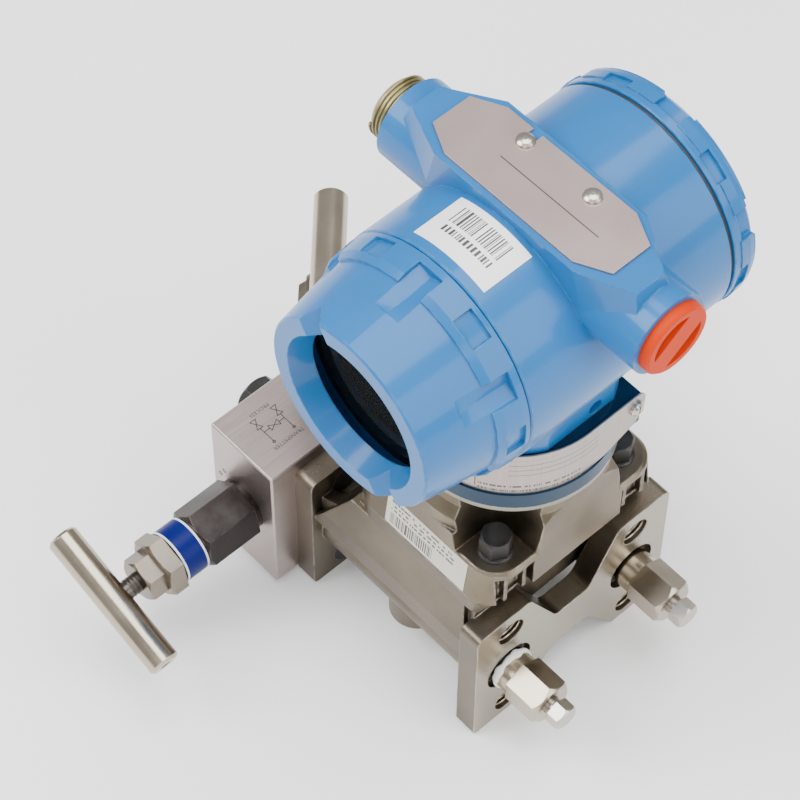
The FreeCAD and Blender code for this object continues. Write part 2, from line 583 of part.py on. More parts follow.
def drain_valve_stem():
    """Drain valve stem with its small hexagon head."""
    total = DRAIN_COLLAR_LENGTH + DRAIN_HEX_LENGTH
    head = hexagon_bar(DRAIN_HEAD_FLATS, DRAIN_HEAD_HEIGHT, 0.8)
    head.translate(UP * (total + DRAIN_STEM_SHOWING))
    under_head = total + DRAIN_STEM_SHOWING
    profile = [(1.0, 0), (1.0, 0.6), (3.0, DRAIN_STEM_RADIUS),
               (under_head, DRAIN_STEM_RADIUS), (under_head, 0)]
    stem = turned(profile, Vector(0, 0, 0), UP, EAST)
    return fused(head, stem)


def save_drain_valves():
    """One drain valve on each process port."""
    for name, y in zip(("low", "high"), PORTS_Y):
        origin = Vector(FLANGE_DRAIN_FACE, y, PORT_HEIGHT)
        save(name + "_drain_body", placed(drain_valve_body(), origin, EAST, UP))
        save(name + "_drain_stem", placed(drain_valve_stem(), origin, EAST, UP))


# ---- Sensor module --------------------------------------------------------------------
def module_bolt_places():
    """Centres of the four bolts that hold the module on the flange."""
    return [(sx * MODULE_BOLT_X, sy * MODULE_BOLT_Y) for sx in (-1, 1) for sy in (-1, 1)]


def drafted_block(half_x, half_y, radius, bottom, top, draft):
    """Block with rounded corners, wider at its foot along Y by the draft."""
    wires = []
    for z, grow in ((bottom, draft), (top, 0.0)):
        corners = [(Vector(sx * half_x, sy * (half_y + grow), z), radius)
                   for sx, sy in ((-1, -1), (1, -1), (1, 1), (-1, 1))]
        wires.append(rounded_outline(corners))
    return Part.makeLoft(wires, True, True)


def bolt_pocket(x, y):
    """Space above a bolt boss, open to the corner and flaring towards the ring."""
    sx, sy = math.copysign(1, x), math.copysign(1, y)
    wires = []
    for z, grow in ((BOSS_PLANE, 0.0), (RING_BOTTOM, BOLT_POCKET_FLARE)):
        near = BOLT_POCKET_RADIUS + grow
        far = 24.0
        corners = [(Vector(x - sx * near, y - sy * near, z), near),
                   (Vector(x + sx * far, y - sy * near, z), 0.1),
                   (Vector(x + sx * far, y + sy * far, z), 0.1),
                   (Vector(x - sx * near, y + sy * far, z), 0.1)]
        wires.append(rounded_outline(corners))
    return Part.makeLoft(wires, True, True)


def boss_recess(sx, sy):
    """Recess under a bolt boss on a narrow side, with two ribs left in it."""
    inner_x = MODULE_HALF_X - SLOT_DEPTH
    low, high = SEAT_HEIGHT - 1.0, BOSS_PLANE - SLOT_ROOF
    span = SLOT_FAR - SLOT_NEAR
    recess = box((inner_x, SLOT_NEAR, low), (MODULE_HALF_X + 2.0, SLOT_FAR, high))
    ribs = [box((inner_x - 1.0, SLOT_NEAR + span * part - SLOT_RIB / 2, low - 1.0),
                (MODULE_HALF_X - 1.2, SLOT_NEAR + span * part + SLOT_RIB / 2, high + 1.0))
            for part in (0.2, 0.76)]
    recess = cut_all(recess, ribs)
    if sx < 0:
        recess = recess.mirror(Vector(0, 0, 0), EAST)
    if sy < 0:
        recess = recess.mirror(Vector(0, 0, 0), NORTH)
    return recess


def sensor_module():
    """The module body: square base with bolt bosses, rising to a round machined ring."""
    edge = 0.8
    base = drafted_block(MODULE_HALF_X, MODULE_HALF_Y, MODULE_CORNER, SEAT_HEIGHT, BOSS_PLANE - edge,
                         MODULE_DRAFT)
    wires = [rounded_outline([(Vector(sx * (MODULE_HALF_X - inset), sy * (MODULE_HALF_Y - inset), z),
                               MODULE_CORNER) for sx, sy in ((-1, -1), (1, -1), (1, 1), (-1, 1))])
             for z, inset in ((BOSS_PLANE - edge, 0.0), (BOSS_PLANE, edge))]
    cap = Part.makeLoft(wires, True, True)
    low = BOSS_PLANE - 2 * edge
    tower = turned([(low, 0), (low, TOWER_RADIUS), (RING_BOTTOM - 8.0, TOWER_RADIUS),
                    (RING_BOTTOM - 4.0, RING_RADIUS - 0.6), (RING_BOTTOM, RING_RADIUS - 0.8),
                    (RING_BOTTOM, 0)], Vector(0, 0, 0), UP, EAST)
    bounds = box((-MODULE_HALF_X, -MODULE_HALF_Y, low), (MODULE_HALF_X, MODULE_HALF_Y, RING_BOTTOM))
    tower = tower.common(bounds)
    wall_top = BOSS_PLANE + MODULE_WALL_HEIGHT
    wall = box((-SIDE_WALL_HALF, -MODULE_HALF_Y, low), (SIDE_WALL_HALF, MODULE_HALF_Y, wall_top))
    tower = fused(tower, wall)
    tower = cut_all(tower, [bolt_pocket(x, y) for x, y in module_bolt_places()])
    ring = turned([(0, 0), (0, RING_RADIUS - 0.4), (0.4, RING_RADIUS), (RING_HEIGHT, RING_RADIUS),
                   (RING_HEIGHT, 0)], Vector(0, 0, RING_BOTTOM), UP, EAST)
    body = fused(base, cap, tower, ring)
    tools = [rod(MODULE_BOLT_SHANK + RUNNING_CLEARANCE, MODULE_BASE_HEIGHT, Vector(x, y, SEAT_HEIGHT))
             for x, y in module_bolt_places()]
    for y in PORTS_Y:
        tools.append(rod(MODULE_SEAL_RADIUS, SEAL_THICKNESS, Vector(0, y, SEAT_HEIGHT)))
    for sx, sy in ((-1, -1), (1, -1), (1, 1), (-1, 1)):
        tools.append(boss_recess(sx, sy))
    return cut_all(body, tools)


def module_seals():
    """Seal rings between the flange and the module."""
    outer = MODULE_SEAL_RADIUS - FIT_CLEARANCE
    return [tube(outer, PASSAGE_RADIUS, SEAL_THICKNESS, Vector(0, y, SEAT_HEIGHT)) for y in PORTS_Y]


def module_bolts():
    """Four hexagon bolts with washers that hold the module on the flange."""
    head = hexagon_bar(MODULE_BOLT_FLATS, MODULE_BOLT_HEAD, 0.9)
    head.translate(UP * MODULE_WASHER_HEIGHT)
    washer = turned([(0, 0), (0, MODULE_WASHER_RADIUS), (MODULE_WASHER_HEIGHT * 0.6, MODULE_WASHER_RADIUS),
                     (MODULE_WASHER_HEIGHT, MODULE_WASHER_RADIUS - 0.5), (MODULE_WASHER_HEIGHT, 0)],
                    Vector(0, 0, 0), UP, EAST)
    length = MODULE_BASE_HEIGHT + MODULE_BOLT_GRIP
    bolt = fused(head, washer, rod(MODULE_BOLT_SHANK, length, Vector(0, 0, -length)))
    return [placed(bolt, Vector(x, y, BOSS_PLANE), UP, EAST) for x, y in module_bolt_places()]


def module_collar():
    """The painted top of the module, with the spigot that the housing turns on."""
    collar = turned([(RING_TOP, 0), (RING_TOP, RING_RADIUS), (STRAP_BOTTOM, RING_RADIUS),
                     (STRAP_BOTTOM, STRAP_SEAT_RADIUS), (MODULE_TOP - 1.0, STRAP_SEAT_RADIUS),
                     (MODULE_TOP, STRAP_SEAT_RADIUS - 1.0), (MODULE_TOP, SPIGOT_RADIUS),
                     (MODULE_TOP + SPIGOT_HEIGHT, SPIGOT_RADIUS), (MODULE_TOP + SPIGOT_HEIGHT, 0)],
                    Vector(0, 0, 0), UP, EAST)
    lug = box((STRAP_SEAT_RADIUS - 12.0, 0, STRAP_BOTTOM + 4.0),
              (STRAP_SEAT_RADIUS, WING_LENGTH - 1.0, MODULE_TOP - 0.4))
    body = fused(collar, lug)
    screw_y, screw_z = rating_screw_place()
    return body.cut(rod(1.4 + FIT_CLEARANCE, 8.0, Vector(STRAP_SEAT_RADIUS - 8.0, screw_y, screw_z), EAST))


def rating_screw_place():
    """Y and Z of the screw that holds the rating plate's wing."""
    return WING_LENGTH - 4.0, STRAP_TOP - 5.0


def rating_plate():
    """Thin plate wrapped round the module's neck, with a flat wing at its end."""
    inner = STRAP_SEAT_RADIUS + FIT_CLEARANCE
    outer = inner + STRAP_THICKNESS
    profile = [(STRAP_BOTTOM, inner), (STRAP_BOTTOM, outer), (STRAP_TOP, outer), (STRAP_TOP, inner)]
    band = turned(profile, Vector(0, 0, 0), UP, EAST, -STRAP_SWEEP)
    slope = STRAP_HEIGHT * 0.55
    wing = [(0, STRAP_BOTTOM), (7.0, STRAP_BOTTOM + 1.0), (WING_LENGTH - 3.5, STRAP_BOTTOM + slope * 0.55),
            (WING_LENGTH, STRAP_BOTTOM + slope), (WING_LENGTH, STRAP_TOP), (0, STRAP_TOP)]
    rounding = (0.0, 2.0, 4.0, 2.5, 3.0, 0.0)
    panel = rounded_prism([(Vector(inner, y, z), r) for (y, z), r in zip(wing, rounding)],
                          EAST * STRAP_THICKNESS)
    screw_y, screw_z = rating_screw_place()
    plate = fused(band, panel)
    return plate.cut(rod(1.5, 4.0, Vector(inner - 1.0, screw_y, screw_z), EAST))


def rating_plate_screw():
    """Pan head screw in the rating plate's wing."""
    screw_y, screw_z = rating_screw_place()
    seat = STRAP_SEAT_RADIUS + FIT_CLEARANCE + STRAP_THICKNESS
    profile = [(-6.0, 0), (-6.0, 1.4), (0, 1.4), (0, 2.7), (1.1, 2.5), (1.9, 1.6), (1.9, 0)]
    screw = turned(profile, Vector(seat, screw_y, screw_z), EAST, UP)
    slot = box((seat + 1.2, screw_y - 0.35, screw_z - 3.0), (seat + 3.0, screw_y + 0.35, screw_z + 3.0))
    return screw.cut(slot)


# ---- Electronics housing --------------------------------------------------------------
def octagon(half_length, flat_half, half_width, end_low, end_high, height):
    """Long octagon centred over the conduit entries."""
    half = [(half_length, -end_low), (half_length, end_high), (flat_half, half_width)]
    ring = half + [(-flat_half, half_width), (-half_length, end_high), (-half_length, -end_low),
                   (-flat_half, -half_width), (flat_half, -half_width)]
    points = [Vector(x, ENTRY_Y + y, height) for x, y in ring]
    return Part.makePolygon(points + points[:1])


def entry_shoulder():
    """Faceted blend from the flat top pad down to the two conduit entries."""
    top = octagon(PAD_HALF_LENGTH, PAD_FLAT_HALF, PAD_HALF_WIDTH, PAD_END_LOW, PAD_END_HIGH, PAD_TOP)
    low = octagon(ENTRY_HALF_SPAN - 2.0, PAD_FLAT_HALF + 4.0, ENTRY_RADIUS - 0.1, ENTRY_RADIUS - 3.5,
                  ENTRY_RADIUS - 6.0, ENTRY_HEIGHT)
    return Part.makeLoft([low, top], True, True)


def neck():
    """Neck under the housing that turns on the module."""
    top = HOUSING_AXIS_HEIGHT - CAVITY_RADIUS + 12.0
    drum = rod(NECK_ROUND, top - NECK_BOTTOM, Vector(0, 0, NECK_BOTTOM))
    return drum.common(box((-NECK_HALF_X, -NECK_ROUND, NECK_BOTTOM), (NECK_HALF_X, NECK_ROUND, top)))


def electronics_housing():
    """The cast housing, with its two compartments, conduit entries, top pad and neck."""
    axis = Vector(0, 0, HOUSING_AXIS_HEIGHT)
    length = HOUSING_REAR - HOUSING_FRONT
    barrel = turned([(0, 0), (0, HOUSING_RADIUS - 0.5), (0.5, HOUSING_RADIUS), (length - 0.5, HOUSING_RADIUS),
                     (length, HOUSING_RADIUS - 0.5), (length, 0)], axis + NORTH * HOUSING_FRONT, NORTH, UP)
    entries = rod(ENTRY_RADIUS, 2 * ENTRY_HALF_SPAN, Vector(-ENTRY_HALF_SPAN, ENTRY_Y, ENTRY_HEIGHT), EAST)
    body = fused(barrel, entries, entry_shoulder(), neck())
    front = axis + NORTH * HOUSING_FRONT
    rear = axis + NORTH * HOUSING_REAR
    bulkhead_rear = axis + NORTH * BULKHEAD_REAR
    tools = [rod(CAVITY_RADIUS, BULKHEAD_FRONT - HOUSING_FRONT, front, NORTH),
             rod(COVER_BORE_RADIUS, COVER_BORE_DEPTH, front, NORTH),
             rod(CAVITY_RADIUS, HOUSING_REAR - BULKHEAD_REAR, bulkhead_rear, NORTH),
             rod(COVER_BORE_RADIUS, COVER_BORE_DEPTH, rear, NORTH * -1),
             rod(ENTRY_BORE, 2 * ENTRY_HALF_SPAN, Vector(-ENTRY_HALF_SPAN, ENTRY_Y, ENTRY_HEIGHT), EAST),
             rod(SPIGOT_RADIUS + RUNNING_CLEARANCE, SPIGOT_HEIGHT + 0.3, Vector(0, 0, NECK_BOTTOM)),
             rod(5.0, 20.0, Vector(0, ENTRY_Y, NECK_BOTTOM)),
             set_screw_hole()]
    for sign in (-1, 1):
        tools.append(rod(TAG_SCREW_SHANK + FIT_CLEARANCE, 6.0,
                         Vector(sign * TAG_SCREW_X, ENTRY_Y + TAG_SCREW_Y, PAD_TOP - 6.0)))
    return cut_all(body, tools)


def set_screw_hole():
    """Hole in the neck for the screw that stops the housing from turning."""
    return rod(2.5, NECK_HALF_X, Vector(SPIGOT_RADIUS - 1.0, ENTRY_Y, NECK_BOTTOM + 3.4), EAST)


def rotation_set_screw():
    """Headless set screw in the neck, with its hexagon socket."""
    start = Vector(SPIGOT_RADIUS + 0.5, ENTRY_Y, NECK_BOTTOM + 3.4)
    length = 9.0
    screw = rod(2.5 - FIT_CLEARANCE, length, start, EAST)
    socket = placed(hexagon_bar(2.5, 3.0), start + EAST * (length - 2.5), EAST, UP)
    return screw.cut(socket)


# ---- Covers ---------------------------------------------------------------------------
def arc_block(start, direction, low, high, inner, outer, middle_angle, sweep, drop=0.0):
    """A block bent round an axis, between two stations and two radii; its far end drops."""
    angle = math.radians(middle_angle - sweep / 2)
    across = Vector(math.cos(angle), 0, math.sin(angle))
    crest = low + (high - low) * 0.7
    profile = [(low, inner), (low, outer), (crest, outer - drop * 0.3), (high, outer - drop), (high, inner)]
    turn = sweep if direction.y < 0 else -sweep
    return turned(profile, start, direction, across, turn)


def lugs(start, direction, low, high, inner, outer, first_angle, drop):
    """Grip lugs round a cover, each with a shallow pocket in its middle."""
    blocks = []
    pockets = []
    for k in range(LUG_COUNT):
        angle = first_angle + k * 360.0 / LUG_COUNT
        blocks.append(arc_block(start, direction, low, high, inner, outer, angle, LUG_SWEEP, drop))
        pockets.append(arc_block(start, direction, low - 0.9, high - 2.4, outer - 1.3, outer + 1.0,
                                 angle, POCKET_SWEEP))
    return blocks, pockets


def display_cover():
    """Threaded display cover: a tapered hood with grip lugs and a sunk window."""
    start = Vector(0, HOUSING_FRONT - DISPLAY_SEAM, HOUSING_AXIS_HEIGHT)
    out = NORTH * -1
    length = DISPLAY_COVER_LENGTH
    spigot = -(COVER_BORE_DEPTH - 1.5)
    glass_front = length - WINDOW_DEPTH
    glass_back = glass_front - GLASS_THICKNESS
    groove = COVER_SPIGOT_RADIUS - 2 * SEAL_SECTION - 0.1
    profile = [(spigot, COVER_CAVITY_RADIUS), (spigot, COVER_SPIGOT_RADIUS), (-2.2, COVER_SPIGOT_RADIUS),
               (-2.2, groove), (-1.0, groove), (-1.0, COVER_SPIGOT_RADIUS), (0, COVER_SPIGOT_RADIUS),
               (0, DISPLAY_BAND_RADIUS - 0.3), (0.3, DISPLAY_BAND_RADIUS),
               (DISPLAY_RIM_WIDTH, DISPLAY_BAND_RADIUS), (DISPLAY_RIM_WIDTH, DISPLAY_CONE_BACK),
               (length - 0.6, DISPLAY_CONE_FRONT), (length, DISPLAY_CONE_FRONT - 0.6),
               (length, LIP_INNER_RADIUS), (glass_front, WINDOW_RADIUS),
               (glass_front, GLASS_RADIUS + FIT_CLEARANCE), (glass_back, GLASS_RADIUS + FIT_CLEARANCE),
               (glass_back, COVER_CAVITY_RADIUS)]
    body = turned(profile, start, out, UP)
    low = DISPLAY_RIM_WIDTH
    high = DISPLAY_RIM_WIDTH + DISPLAY_LUG_WIDTH
    blocks, pockets = lugs(start, out, low, high, DISPLAY_CONE_FRONT + 2.0, DISPLAY_BAND_RADIUS, 0.0, 1.7)
    body = fused(body, *blocks)
    cuts = list(pockets)
    for k in range(LUG_COUNT):
        angle = (k + 0.5) * 360.0 / LUG_COUNT
        cuts.append(notch_wedge(start, angle))
    for angle in (120.0, 300.0):
        cuts.append(lip_notch(start, angle, length))
    return cut_all(body, cuts)


def notch_wedge(start, angle):
    """V groove between two lugs, running forward along the hood until it fades out."""
    lean = math.radians(angle)
    radial = Vector(math.cos(lean), 0, math.sin(lean))
    across = Vector(-math.sin(lean), 0, math.cos(lean))
    slope = (DISPLAY_CONE_FRONT - DISPLAY_CONE_BACK) / (DISPLAY_COVER_LENGTH - 0.6 - DISPLAY_RIM_WIDTH)
    wires = []
    for station, depth in ((DISPLAY_RIM_WIDTH, NOTCH_DEPTH_BACK), (NOTCH_FADE, NOTCH_DEPTH_BACK * 0.8),
                           (NOTCH_END, 0.0)):
        surface = DISPLAY_CONE_BACK + slope * (station - DISPLAY_RIM_WIDTH)
        half = math.radians(NOTCH_SWEEP / 2) * DISPLAY_CONE_BACK
        edge = math.sqrt(surface ** 2 - half ** 2)
        ring = [(-half, surface + 3.0), (-half, edge), (0.0, edge - depth), (half, edge),
                (half, surface + 3.0)]
        points = [start - NORTH * station + across * u + radial * v for u, v in ring]
        wires.append(Part.makePolygon(points + points[:1]))
    return Part.makeLoft(wires, True, True)


def lip_notch(start, angle, length):
    """A V notch across the front lip, for a bar to turn the cover."""
    lean = math.radians(angle)
    radial = Vector(math.cos(lean), 0, math.sin(lean))
    across = Vector(-math.sin(lean), 0, math.cos(lean))
    front = start - NORTH * (length + 0.5)
    half = LIP_NOTCH_WIDTH / 2
    inner = radial * (WINDOW_RADIUS - 2.0)
    points = [front + inner - across * half, front + inner + across * half,
              front + inner + NORTH * (LIP_NOTCH_DEPTH + 0.5)]
    reach = DISPLAY_CONE_BACK - WINDOW_RADIUS + 4
    return Part.Face(Part.makePolygon(points + points[:1])).extrude(radial * reach)


def cover_glass():
    """Window glass seated behind the lip."""
    front = HOUSING_FRONT - DISPLAY_SEAM - DISPLAY_COVER_LENGTH + WINDOW_DEPTH
    return rod(GLASS_RADIUS, GLASS_THICKNESS, Vector(0, front, HOUSING_AXIS_HEIGHT), NORTH)


def glass_retainer():
    """Ring that holds the glass against its seat."""
    front = HOUSING_FRONT - DISPLAY_SEAM - DISPLAY_COVER_LENGTH + WINDOW_DEPTH + GLASS_THICKNESS
    return tube(COVER_CAVITY_RADIUS - FIT_CLEARANCE, RETAINER_BORE, RETAINER_THICKNESS,
                Vector(0, front, HOUSING_AXIS_HEIGHT), NORTH)


def seal_ring(middle_radius, middle):
    """Flat-sided seal ring with eased corners, round the housing axis."""
    half = SEAL_SECTION
    ease = half * 0.4
    profile = [(-half, middle_radius - half + ease), (-half, middle_radius + half - ease),
               (-half + ease, middle_radius + half), (half - ease, middle_radius + half),
               (half, middle_radius + half - ease), (half, middle_radius - half + ease),
               (half - ease, middle_radius - half), (-half + ease, middle_radius - half)]
    return turned(profile, middle, NORTH, UP)


def display_cover_seal():
    """Seal ring in the groove of the display cover."""
    place = Vector(0, HOUSING_FRONT - DISPLAY_SEAM + 1.6, HOUSING_AXIS_HEIGHT)
    return seal_ring(COVER_SPIGOT_RADIUS - SEAL_SECTION - 0.05, place)


def terminal_cover():
    """Threaded terminal cover: a shallow cap with grip lugs."""
    start = Vector(0, HOUSING_REAR + TERMINAL_SEAM, HOUSING_AXIS_HEIGHT)
    length = TERMINAL_COVER_LENGTH
    spigot = -(COVER_BORE_DEPTH - 1.5) - TERMINAL_SEAM
    cavity_end = length - TERMINAL_END_WALL
    rim = HOUSING_RADIUS + 0.2
    band = TERMINAL_BAND_WIDTH
    profile = [(spigot, COVER_CAVITY_RADIUS), (spigot, COVER_SPIGOT_RADIUS), (0, COVER_SPIGOT_RADIUS),
               (0, rim - 0.3), (0.3, rim), (band - 0.3, rim), (band, rim - 0.3), (band, TERMINAL_BODY_RADIUS),
               (length - 1.5, TERMINAL_BODY_RADIUS), (length, TERMINAL_BODY_RADIUS - 1.5),
               (length, CAVITY_RADIUS - 1.0), (length - 0.8, CAVITY_RADIUS - 2.0), (length - 0.8, 0),
               (cavity_end, 0), (cavity_end, COVER_CAVITY_RADIUS)]
    body = turned(profile, start, NORTH, UP)
    tier = length - TERMINAL_TIER
    blocks, pockets = lugs(start, NORTH, band - 0.8, tier, CAVITY_RADIUS, TERMINAL_BAND_RADIUS,
                           TERMINAL_LUG_TURN, 0.5)
    steps = [arc_block(start, NORTH, tier - 0.5, length - 0.6, CAVITY_RADIUS, TERMINAL_BODY_RADIUS + 0.7,
                       TERMINAL_LUG_TURN + k * 360.0 / LUG_COUNT, LUG_SWEEP - 5.0) for k in range(LUG_COUNT)]
    return cut_all(fused(body, *blocks, *steps), pockets)


def terminal_cover_seal():
    """Seal ring that shows in the gap behind the terminal cover's rim."""
    place = Vector(0, HOUSING_REAR + TERMINAL_SEAM / 2, HOUSING_AXIS_HEIGHT)
    return seal_ring(HOUSING_RADIUS - 1.2, place)


# ---- Inside the housing ---------------------------------------------------------------
def electronics_board():
    """Potted electronics unit on the bulkhead."""
    start = Vector(0, BULKHEAD_FRONT, HOUSING_AXIS_HEIGHT)
    length = BULKHEAD_FRONT - DISPLAY_STEP
    return turned([(0, 0), (0, ELECTRONICS_RADIUS), (length - 2, ELECTRONICS_RADIUS),
                   (length, ELECTRONICS_RADIUS - 2), (length, 0)], start, NORTH * -1, UP)


def display_module():
    """Round meter unit with a recessed rectangular display field."""
    start = Vector(0, DISPLAY_STEP, HOUSING_AXIS_HEIGHT)
    length = DISPLAY_STEP - DISPLAY_FACE
    puck = turned([(0, 0), (0, DISPLAY_RADIUS), (length - 1.5, DISPLAY_RADIUS),
                   (length, DISPLAY_RADIUS - 1.5), (length, 0)], start, NORTH * -1, UP)
    window = box((-16.0, DISPLAY_FACE - 1.0, HOUSING_AXIS_HEIGHT - 7.0),
                 (16.0, DISPLAY_FACE + 1.2, HOUSING_AXIS_HEIGHT + 13.0))
    return puck.cut(window)


def terminal_block():
    """Terminal block on the bulkhead, below the conduit entries."""
    start = Vector(0, BULKHEAD_REAR, HOUSING_AXIS_HEIGHT)
    disc = rod(TERMINAL_BLOCK_RADIUS, TERMINAL_BLOCK_DEPTH, start, NORTH)
    keep = box((-TERMINAL_BLOCK_RADIUS, BULKHEAD_REAR, HOUSING_AXIS_HEIGHT - TERMINAL_BLOCK_RADIUS),
               (TERMINAL_BLOCK_RADIUS, BULKHEAD_REAR + TERMINAL_BLOCK_DEPTH, HOUSING_AXIS_HEIGHT + 9.0))
    holes = [rod(2.0 + FIT_CLEARANCE, 8.0, place - NORTH * 8.0, NORTH) for place in terminal_places()]
    return cut_all(disc.common(keep), holes)


def terminal_places():
    """Centres of the terminal screws on the block's face."""
    face = BULKHEAD_REAR + TERMINAL_BLOCK_DEPTH
    return [Vector(k * TERMINAL_SPACING, face, HOUSING_AXIS_HEIGHT - 3.0) for k in (-1, 0, 1)]


def terminal_screws():
    """Three terminal screws with slotted heads."""
    screws = []
    for place in terminal_places():
        screw = fused(rod(2.0, 7.0, place - NORTH * 7.0, NORTH), rod(4.0, 2.5, place, NORTH))
        slot = box((place.x - 5.0, place.y + 1.5, place.z - 0.5),
                   (place.x + 5.0, place.y + 3.0, place.z + 0.5))
        screws.append(screw.cut(slot))
    return screws


# ---- Top plate and conduit entries ----------------------------------------------------
def tag_plate():
    """Long octagonal plate on the top pad, pivoted at one screw and slotted at the other."""
    outline = octagon(TAG_HALF_LENGTH, TAG_FLAT_HALF, TAG_HALF_WIDTH, TAG_END_HALF, TAG_END_HALF, PAD_TOP)
    plate = Part.Face(outline).extrude(UP * TAG_THICKNESS)
    screw_y = ENTRY_Y + TAG_SCREW_Y
    half = TAG_SLOT_WIDTH / 2
    pivot = rod(TAG_SCREW_SHANK + RUNNING_CLEARANCE, 4.0, Vector(TAG_SCREW_X, screw_y, PAD_TOP - 1.0))
    slot_end = rod(half, 4.0, Vector(-TAG_SCREW_X, screw_y, PAD_TOP - 1.0))
    slot = box((-TAG_SCREW_X - half, screw_y, PAD_TOP - 1.0),
               (-TAG_SCREW_X + half, ENTRY_Y + TAG_HALF_WIDTH + 2.0, PAD_TOP + 3.0))
    return cut_all(plate, [pivot, slot_end, slot])


def tag_screw(sign):
    """Domed screw at one end of the tag plate."""
    base = Vector(sign * TAG_SCREW_X, ENTRY_Y + TAG_SCREW_Y, PAD_TOP + TAG_THICKNESS)
    head_radius = TAG_SCREW_HEAD
    dome = [(0, 0), (0, head_radius), (TAG_SCREW_DOME * 0.45, head_radius * 0.93),
            (TAG_SCREW_DOME * 0.8, head_radius * 0.66), (TAG_SCREW_DOME, head_radius * 0.25),
            (TAG_SCREW_DOME, 0)]
    return fused(turned(dome, base, UP, EAST), rod(TAG_SCREW_SHANK, TAG_THICKNESS + 5.0,
                                                   base - UP * (TAG_THICKNESS + 5.0)))


def conduit_plug():
    """Plastic entry plug: rim, hollow shank and two finger recesses beside a grip bar."""
    mouth = Vector(ENTRY_HALF_SPAN, ENTRY_Y, ENTRY_HEIGHT)
    rim = turned([(0, 0), (0, 11.6), (2.6, 11.6), (3.4, 10.9), (3.4, 0)], mouth, EAST, UP)
    shank = rod(ENTRY_BORE - RUNNING_CLEARANCE, 12.0, mouth - EAST * 12.0, EAST)
    recess = rod(8.8, 3.4, mouth + EAST * 1.2, EAST)
    turn = math.radians(38.0)
    bar_way = Vector(0, math.cos(turn), math.sin(turn))
    bar_side = EAST.cross(bar_way)
    corner = mouth - EAST * 12.0 - bar_way * 12.0 - bar_side * PLUG_BAR / 2
    points = [corner, corner + bar_way * 24.0, corner + bar_way * 24.0 + bar_side * PLUG_BAR,
              corner + bar_side * PLUG_BAR]
    bar = Part.Face(Part.makePolygon(points + points[:1])).extrude(EAST * 15.4)
    return fused(rim, shank).cut(recess.cut(bar))


def conduit_adapter():
    """Hollow threaded nipple in the other entry."""
    mouth = Vector(-ENTRY_HALF_SPAN, ENTRY_Y, ENTRY_HEIGHT)
    profile = [(-11.0, 7.8), (-11.0, ENTRY_BORE - FIT_CLEARANCE), (0.0, ENTRY_BORE - FIT_CLEARANCE),
               (0.0, 10.1), (6.2, 9.8), (7.2, 9.0), (7.2, 7.8)]
    return turned(profile, mouth, EAST * -1, UP)


# ---- Write every node -----------------------------------------------------------------
def main():
    """Build all the pieces and write one STEP file for each node."""
    os.makedirs("parts", exist_ok=True)
    save("process_flange", process_flange())
    save("manifold_block", manifold_block())
    save("manifold_bolts", *manifold_bolts())
    save("manifold_seals", *manifold_seals())
    save_valves()
    save_drain_valves()
    save("sensor_module", sensor_module())
    save("module_seals", *module_seals())
    save("module_bolts", *module_bolts())
    save("module_collar", module_collar())
    save("rating_plate", rating_plate())
    save("rating_plate_screw", rating_plate_screw())
    save("electronics_housing", electronics_housing())
    save("rotation_set_screw", rotation_set_screw())
    save("display_cover", display_cover())
    save("cover_glass", cover_glass())
    save("glass_retainer", glass_retainer())
    save("display_cover_seal", display_cover_seal())
    save("electronics_board", electronics_board())
    save("display_module", display_module())
    save("terminal_cover", terminal_cover())
    save("terminal_cover_seal", terminal_cover_seal())
    save("terminal_block", terminal_block())
    save("terminal_screws", *terminal_screws())
    save("tag_plate", tag_plate())
    save("tag_pivot_screw", tag_screw(1))
    save("tag_lock_screw", tag_screw(-1))
    save("conduit_plug", conduit_plug())
    save("conduit_adapter", conduit_adapter())


main()
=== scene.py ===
"""Looks of a differential pressure transmitter with a three-valve manifold.

The construction frame carries the shapes. This script dresses every piece with a procedural
finish, adds the threads, printed plates, labels and engraving, and sets the floor, light and
camera.
"""

import json
import logging
import math
from dataclasses import dataclass
from enum import Enum
from typing import Dict, List, Sequence, Tuple

import bpy
from mathutils import Matrix, Vector


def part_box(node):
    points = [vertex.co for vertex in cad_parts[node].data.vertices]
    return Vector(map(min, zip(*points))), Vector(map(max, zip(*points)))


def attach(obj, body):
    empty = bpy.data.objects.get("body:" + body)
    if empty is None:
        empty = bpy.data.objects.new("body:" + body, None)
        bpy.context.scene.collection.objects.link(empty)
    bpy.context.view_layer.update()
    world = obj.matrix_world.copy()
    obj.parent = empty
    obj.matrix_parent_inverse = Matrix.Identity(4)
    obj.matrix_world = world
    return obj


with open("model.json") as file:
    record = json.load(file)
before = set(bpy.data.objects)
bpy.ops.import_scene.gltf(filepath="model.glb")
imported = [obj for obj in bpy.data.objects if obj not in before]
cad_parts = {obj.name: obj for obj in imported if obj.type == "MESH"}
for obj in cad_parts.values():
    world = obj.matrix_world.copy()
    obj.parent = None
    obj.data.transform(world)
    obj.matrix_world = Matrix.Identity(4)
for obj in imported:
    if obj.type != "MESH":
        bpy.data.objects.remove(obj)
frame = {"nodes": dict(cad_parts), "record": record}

LOG = logging.getLogger("transmitter")
MM = 0.001
Colour = Tuple[float, float, float]
Point = Tuple[float, float, float]
DUST_COLOUR = (0.62, 0.60, 0.56)
BUMP_HEIGHT = 0.2 * MM
LEAST_ROUGHNESS = 0.03
BRUSH_STRETCH = 0.02  # scale of the noise along the brushed lines
DASH_SHIFT = 7.31  # moves each printed row's dashes off the row before it


class Axis(Enum):
    """A row axis, with its place in a vector."""

    X = 0
    Y = 1
    Z = 2


class Relief(Enum):
    """How a finish's small surface relief runs."""

    GRAIN = "grain"
    BRUSHED_Y = "brushed_y"
    BRUSHED_Z = "brushed_z"


# ---- Shader building ---------------------------------------------------------------------


